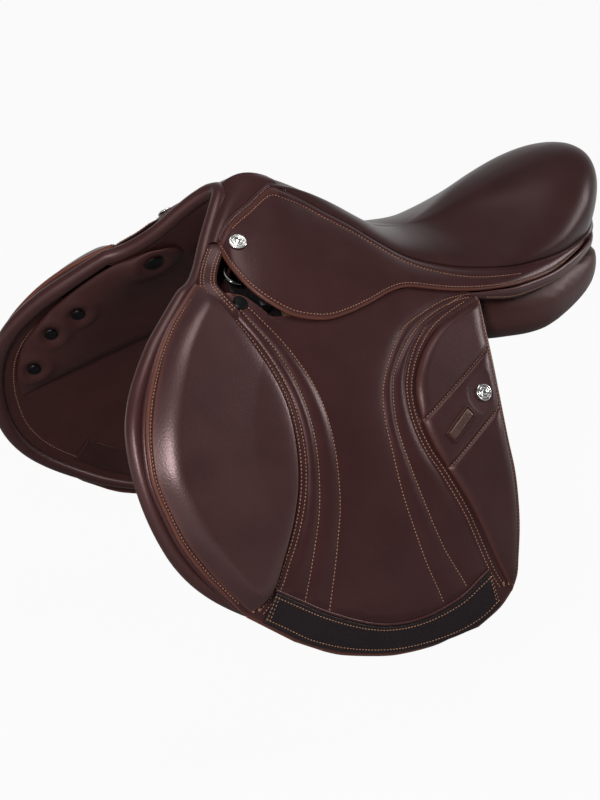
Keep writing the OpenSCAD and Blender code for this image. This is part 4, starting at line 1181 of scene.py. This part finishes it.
    def keeper(self) -> None:
        """Keeper frame with its strap end, and the stud."""
        n = BARREL.normal(self.KEEPER_AT[1])
        tilt = math.radians(38)
        long = math.cos(tilt) * np.array([0, 1.0, 0]) + math.sin(tilt) * np.array([-n[2], 0, n[0]])
        across = np.cross(n, long)
        at = BARREL.point(*self.KEEPER_AT, self.ON_PAD)
        for name, half_l, half_w, lift, high, finish in self.KEEPER:
            a, b = ((2 * spread(k, 2 * half, 2.5) - 1) * half for k, half in ((12, half_l), (8, half_w)))
            aa, bb = np.meshgrid(a, b, indexing="ij")
            edge = np.minimum(half_l - abs(aa), half_w - abs(bb))
            face = at + aa[..., None] * long + bb[..., None] * across
            h = lift + high * swell(edge / 2.0)
            nodes = ()
            if finish is Finish.SEAT:
                h = h - 2.4 * np.clip(np.minimum(16.6 - abs(aa), 5.4 - abs(bb)) / 0.5, 0, 1)
                nodes = ("keeper",)
            outer, wear = face + h[..., None] * n, 0.7 * bell(edge, 1.4)
            self.flap_piece(slab(self.name(name), outer, face - 0.4 * n, self.side, wear), finish, *nodes)
        y, z = self.STUD_AT
        stud = turned(self.name("flap_button"), BARREL.point(y, z, self.ON_PAD), BARREL.normal(z),
                      SkirtAssembly.STUD, self.side)
        self.flap_piece(stud, Finish.NICKEL, "flap_stud")


@dataclass
class PanelAssembly(Assembly):
    """One side of the panel: cushion, forward pad with caps, sweat flap and knee block."""

    STATIONS = ((-138, 60, 93, 4, 4, -0.75), (-120, 61, 92.5, 16, 10, -0.75), (-80, 64, 92.2, 27, 15, -0.6),
        (-30, 68, 83.2, 35, 20, -0.45), (20, 71, 69.2, 40, 25, -0.35), (70, 75, 60.7, 44, 28, -0.3),
        (120, 77, 56.2, 46, 30, -0.2), (170, 76, 55.2, 43, 31, -0.1), (215, 69, 62.5, 34, 28.5, 0),
        (250, 60, 73, 25, 23, 0.05), (271, 50, 83, 13, 14, 0))
    CUSHION_SIDES = 72
    SLACK = 1.5
    PAD_FRONT = ((-194, 128), (-216, 110), (-244, 82), (-265, 54), (-279, 27), (-284, 0), (-282, -25),
        (-273, -45))
    PAD_REAR = ((-150, 136), (-122, 114), (-108, 90), (-100, 68), (-92, 54), (-88, 44), (-88, 32), (-108, 14))
    PAD_BACK = -15.92
    PAD_PUFF = 14.5
    SWEAT_FRONT = ((-254, 71), (-276, 48), (-289, 24), (-294, 0), (-292, -28), (-285, -55), (-272, -85),
        (-254, -108), (-231, -127), (-201, -145), (-167, -163), (-128, -177), (-90, -185))
    SWEAT_REAR = ((50, 71), (49, 40), (47, 0), (45, -50), (43, -95), (39, -130), (31, -155), (14, -173),
        (-10, -183), (-45, -186))
    SWEAT_TALL = 340
    SWEAT_FACES = (-12.32, -15.32)
    STRIP_FACES, STRIP_WIDE = (-15.6, -15.5), 30
    BLOCK_FRONT = ((-264, 48), (-277, 24), (-281, 0), (-278, -28), (-266, -56), (-249, -78))
    BLOCK_REAR = ((-222, 56), (-222, 30), (-226, 2), (-230, -26), (-232, -50), (-238, -72))
    BLOCK_FACES, BLOCK_HIGH = (-11.5, -11.7), 8.0
    CAPS = ((0.4, 0.07, 9.5), (0.165, 0.4, 6.8), (0.1, 0.53, 6.8), (0.08, 0.78, 6.8))

    def build(self) -> None:
        """Makes the panel's pieces."""
        self.cushion()
        self.forward()
        self.caps()
        self.sweat()
        self.strip()
        self.block()

    def cushion(self) -> None:
        """Long cushion that bears on the horse's back."""
        p = curve(self.STATIONS, np.linspace(0, 1, 130))
        y, x, z, wide, tall, slope = (p[:, k:k + 1] for k in range(6))
        c, s = (np.sign(k) * np.abs(k) ** 0.8 for k in circle(self.CUSHION_SIDES))
        close = np.minimum(swell((y + 140) / 8), swell((271.5 - y) / 9))
        u = (wide - self.SLACK) * c * close
        loops = np.stack([x + u, y + 0 * u, z + slope * u + (tall - self.SLACK) * s * close], -1)
        obj = ringed(self.name("panel_cushion"), loops, loops[[0, -1]].mean(1), self.side)
        inflate(obj)
        self.done(obj, Finish.LINING, self.name("panel"), fill=0.9)

    def pad_place(self, u: Array, v: Array) -> Array:
        """Places on the forward pad, its top corners rounded."""
        a, b = curve(self.PAD_FRONT, v), curve(self.PAD_REAR, v)
        p = a + (b - a) * (0.42 + (u - 0.42) * (0.25 + 0.75 * swell(v / 0.16)))[..., None]
        p[..., 1] += 34 * u * (1 - u) * v**6
        return p

    def pad_point(self, u: Array, v: Array) -> Array:
        """Points of the forward pad's face before its dimples."""
        puff = np.clip(1 - np.abs(2 * u - 1) ** 2.6, 0, 1) ** 0.6 * (1 - 0.55 * smooth((u - 0.16) / 0.8))
        puff = puff * swell(v / 0.2) ** 1.3 * swell((1 - v) / 0.3) ** 1.4
        return BARREL.lay(self.pad_place(u, v), self.PAD_BACK - 0.6 - self.PAD_PUFF * puff)

    def forward(self) -> None:
        """Forward pad with dimples round its caps."""
        vv, uu = np.meshgrid(spread(110, 220, 4), spread(90, 130, 4), indexing="ij")
        face, p = self.pad_point(uu, vv), self.pad_place(uu, vv)
        for u, v, r in self.CAPS:
            far = np.linalg.norm(face - self.pad_point(np.array(u), np.array(v)), axis=-1)
            ring = 2.3 * bell(far - 2.3 * r, 0.9 * r) * swell(vv / 0.1)
            face = face - BARREL.out(p) * (ring - 2.2 * np.exp(-((far / (1.45 * r)) ** 4)))[..., None]
        obj = slab(self.name("front_pad_leather"), face, BARREL.lay(p, self.PAD_BACK), self.side)
        self.done(obj, Finish.LINING, self.name("front_pad"), fill=0.85)

    def caps(self) -> None:
        """Black caps of the forward pad."""
        for i, (u, v, r) in enumerate(self.CAPS):
            u, v = np.array(u), np.array(v)
            m = unit(np.cross(self.pad_point(u + 0.02, v) - self.pad_point(u - 0.02, v),
                              self.pad_point(u, v + 0.02) - self.pad_point(u, v - 0.02)))
            m = m * (-1 if m[0] > 0 else 1)
            profile = [(0.02, 0), (r, 0), (r, 0.8), (r - 0.4, 1.5), (r - 1.2, 1.9), (0.82 * r, 2.1),
                       (0.7 * r, 1.7), (0.4 * r, 1.5), (0.02, 1.5)]
            at = self.pad_point(u, v) - 1.2 * m
            cap = turned(self.name(f"panel_cap_{i + 1}"), at, m, profile, self.side)
            self.done(cap, Finish.PLASTIC, *([self.name("panel_caps")] if i == 0 else []))

    def sweat(self) -> None:
        """Sweat flap with its sewn border."""
        v, u = spread(120, self.SWEAT_TALL), spread(70, 260)
        lines = ((self.SWEAT_FRONT, 1), (self.SWEAT_REAR, -1))
        a, b = (aside(along(points, v), -5.0 * sign) for points, sign in lines)
        p = between(a, b, u)
        drop = eased_edge(np.minimum(nearest(u) * apart(a, b), nearest(v)[:, None] * self.SWEAT_TALL), 1.5)
        high, low = self.SWEAT_FACES
        outer, inner = BARREL.lay(p, high - drop), BARREL.lay(p, low + drop)
        obj = slab(self.name("sweat_flap_leather"), outer, inner, self.side)
        self.done(obj, Finish.LINING, self.name("sweat_flap"))
        t = np.linspace(0.02, 0.995, 220)
        for points, sign in lines:
            line = aside(along(points, t), 7.5 * sign)
            for d, way in ((low + 0.02, -1), (high - 0.02, 1)):
                self.thread.row(Ride.SADDLE, self.side, BARREL.lay(line, d), BARREL.out(line) * way)

    def strip(self) -> None:
        """Dark strip along the sweat flap's foot."""
        low = along(self.SWEAT_FRONT, np.linspace(0.66, 0.99, 80))
        top = low + np.stack([np.linspace(14, 4, 80), np.linspace(22, 36, 80)], -1)
        u = spread(10, self.STRIP_WIDE)
        p = between(low, top, u) + 3.0
        front, back = self.STRIP_FACES
        face = BARREL.lay(p, front - 1.5 * swell(nearest(u) * self.STRIP_WIDE / 1.5))
        self.done(slab(self.name("sweat_strip"), face, BARREL.lay(p, back), self.side), Finish.SEAT)

    def block(self) -> None:
        """Padded block in front of the knee, under the flap."""
        tall, wide = 130, 45
        v, u = spread(50, tall, 4), spread(24, wide, 4)
        p = between(along(self.BLOCK_FRONT, v), along(self.BLOCK_REAR, v), u)
        e = np.minimum(nearest(u) * wide, nearest(v)[:, None] * tall)
        front, back = self.BLOCK_FACES
        face = BARREL.lay(p, front + self.BLOCK_HIGH * swell(e / 13))
        obj = slab(self.name("knee_block_leather"), face, BARREL.lay(p, back), self.side)
        self.done(obj, Finish.PAD, self.name("knee_block"), fill=0.7)


@dataclass
class HardwareAssembly(Assembly):
    """Metal, plastic, straps and tree, whose solids keep their shape and get their finish."""

    SIDED = {"dee": Finish.DARK, "dee_clip": Finish.DARK, "stirrup_bar": Finish.STEEL,
             "safety_catch": Finish.STEEL, "bar_boss": Finish.PLASTIC, "billet_front": Finish.LEATHER,
             "billet_middle": Finish.LEATHER, "billet_rear": Finish.LEATHER, "buckle_guard": Finish.LEATHER,
             "girth_web": Finish.WEB}
    MIDDLE = {"tree_head": Finish.WOOD, "tree_frame": Finish.WOOD, "gullet_plate": Finish.STEEL}

    def build(self) -> None:
        """Dresses the nodes that stay."""
        nodes = {side.prefix + name: finish for side in Side for name, finish in self.SIDED.items()}
        for name, finish in {**nodes, **self.MIDDLE}.items():
            self.palette.put(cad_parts[name], finish)
            LOG.info("%s dressed", name)


@dataclass
class LiningAssembly(Assembly):
    """Leather that closes the arch and the channel, so that the tree doesn't show."""

    ROLL = ((0, -139, 175), (9, -141, 172), (20, -150, 163), (31, -162, 149), (43, -174, 134),
        (57, -185, 121), (72, -199, 109), (83, -217, 101))
    ARCH = ((0, 158), (17, 153), (36, 138), (53, 118), (70, 101), (92, 83), (103, 72))

    def build(self) -> None:
        """Makes the lining under the pommel's arch."""
        s = np.linspace(0, 1, 70)
        a, b = along(self.ROLL, s), along(self.ARCH, 0.93 * s)
        mid, far = (np.stack([b[:, 0], y + 0 * s, b[:, 1]], -1)[:, None] for y in (-128.0, -62.0))
        t = np.linspace(0, 1, 40)[None, :, None]
        half = (1 - t) ** 2 * a[:, None] + 2 * t * (1 - t) * mid + t**2 * far
        face = doubled(half[::-1])
        self.done(slab("arch_lining", face, face + 1.2 * UP), Finish.LINING)


@dataclass(frozen=True)
class Lamp:
    """A soft square light: where it stands, what it aims at, its size and its power."""

    name: str
    at: tuple
    aim: tuple
    wide: float
    tall: float
    power: float


class Studio:
    """Plain pale floor, soft light, white surround and the camera."""

    LAMPS = (Lamp("key", (1.41, -1.34, 0.85), (0.15, -0.2, 0), 0.3, 0.55, 33),
             Lamp("top", (0.3, -0.2, 1.9), (0, 0, 0), 1.0, 1.0, 15),
             Lamp("back_right", (0.7, 1.9, 0.8), (0, 0.15, 0.05), 0.6, 0.6, 20),
             Lamp("left", (0.6, -1.9, 0.5), (0, -0.1, -0.05), 0.8, 0.8, 4))
    EYE, TARGET = (1.4826, -0.90595, 0.5162), (0, -0.05, -0.04)
    LENS, SENSOR = 81, 36
    FLOOR_SIZE, FLOOR_Z = 20, -0.3
    FLOOR_SHARE = 0.95
    FLOOR_GREY = (0.3, 0.3, 0.3, 1)
    FLOOR_SHEET, WORLD_SHEET = (0.6, 1.6), (0.45, 0.95)
    WORLD_LIGHT = 0.12
    AHEAD = (-0.824, 0.476, -0.309)
    WHITE = (1, 1, 1, 1)

    @staticmethod
    def place(name: str, data: bpy.types.ID, at: tuple, aim: tuple) -> Piece:
        """New lamp or camera that looks at a point."""
        obj = link(name, data)
        obj.location = at
        obj.rotation_euler = (Vector(aim) - Vector(at)).to_track_quat("-Z", "Y").to_euler()
        return obj

    def build(self) -> None:
        """Sets up floor, lights, world and camera."""
        self.floor()
        for lamp in self.LAMPS:
            data = bpy.data.lights.new(lamp.name, "AREA")
            data.shape, data.size, data.size_y, data.energy = "RECTANGLE", lamp.wide, lamp.tall, lamp.power
            self.place(lamp.name, data, lamp.at, lamp.aim)
        self.world()
        data = bpy.data.cameras.new("camera")
        data.lens, data.sensor_width = self.LENS, self.SENSOR
        bpy.context.scene.camera = self.place("camera", data, self.EYE, self.TARGET)
        bpy.context.scene.view_settings.view_transform = "Standard"
        LOG.info("studio")

    @staticmethod
    def seen(kit: NodeKit, measure: bpy.types.Node, near: float, far: float) -> bpy.types.Node:
        """Mask that is one where the camera, metal or glass sees the white surround.

        Args:
            kit: tree to build in.
            measure: node whose value rises towards the sheet that metal sees.
            near: value where the sheet starts.
            far: value where it is full.
        Returns:
            The mask's node.
        """
        sheet = kit.add("ShaderNodeMapRange", {"From Min": near, "From Max": far},
                        interpolation_type="SMOOTHSTEP")
        path = kit.add("ShaderNodeLightPath")
        glossy = kit.add("ShaderNodeMath", operation="MULTIPLY")
        one, two = (kit.add("ShaderNodeMath", operation="MAXIMUM") for _ in range(2))
        kit.wire((measure, "Value", sheet, "Value"), (path, "Is Glossy Ray", glossy, 0),
                 (sheet, "Result", glossy, 1), (path, "Is Camera Ray", one, 0), (glossy, 0, one, 1),
                 (one, 0, two, 0), (path, "Is Transmission Ray", two, 1))
        return two

    def floor(self) -> None:
        """White floor that keeps a faint shadow."""
        mesh = bpy.data.meshes.new("floor")
        corners = [(x * self.FLOOR_SIZE, y * self.FLOOR_SIZE, self.FLOOR_Z)
                   for x, y in ((-1, -1), (1, -1), (1, 1), (-1, 1))]
        mesh.from_pydata(corners, [], [(0, 1, 2, 3)])
        mat = bpy.data.materials.new("floor")
        mat.use_nodes = True
        kit = NodeKit(mat.node_tree)
        out, face = (mat.node_tree.nodes[k] for k in ("Material Output", "Principled BSDF"))
        kit.fill(face, {"Base Color": self.FLOOR_GREY, "Roughness": 0.9, "Specular IOR Level": 0})
        glow, mix = kit.add("ShaderNodeEmission"), kit.add("ShaderNodeMixShader")
        part = kit.add("ShaderNodeMath", {1: self.FLOOR_SHARE}, operation="MULTIPLY")
        place, far = kit.add("ShaderNodeTexCoord"), kit.add("ShaderNodeVectorMath", operation="LENGTH")
        kit.wire((place, "Object", far, 0), (self.seen(kit, far, *self.FLOOR_SHEET), 0, part, 0),
                 (part, 0, mix, "Fac"), (face, 0, mix, 1), (glow, 0, mix, 2), (mix, 0, out, "Surface"))
        mesh.materials.append(mat)
        link("floor", mesh)

    def world(self) -> None:
        """White sheet behind the saddle for camera and metal, dim light from the rest."""
        world = bpy.data.worlds.new("surround")
        bpy.context.scene.world = world
        world.use_nodes = True
        kit = NodeKit(world.node_tree)
        out, dim = (world.node_tree.nodes[k] for k in ("World Output", "Background"))
        kit.fill(dim, {"Color": self.WHITE, "Strength": self.WORLD_LIGHT})
        white, mix = kit.add("ShaderNodeBackground", {"Color": self.WHITE}), kit.add("ShaderNodeMixShader")
        place = kit.add("ShaderNodeTexCoord")
        ahead = kit.add("ShaderNodeVectorMath", {1: self.AHEAD}, operation="DOT_PRODUCT")
        kit.wire((place, "Generated", ahead, 0), (self.seen(kit, ahead, *self.WORLD_SHEET), 0, mix, "Fac"),
                 (dim, 0, mix, 1), (white, 0, mix, 2), (mix, 0, out, "Surface"))


def main() -> None:
    """Builds every assembly, then the studio."""
    logging.basicConfig(level=logging.INFO)
    palette = Palette()
    thread = Stitching(palette)
    SeatAssembly(palette, thread).build()
    for side in Side:
        for assembly in (SkirtAssembly, FlapAssembly, PanelAssembly):
            assembly(palette, thread, side).build()
    HardwareAssembly(palette, thread).build()
    LiningAssembly(palette, thread).build()
    thread.build()
    Studio().build()


if __name__ == "__main__":
    main()
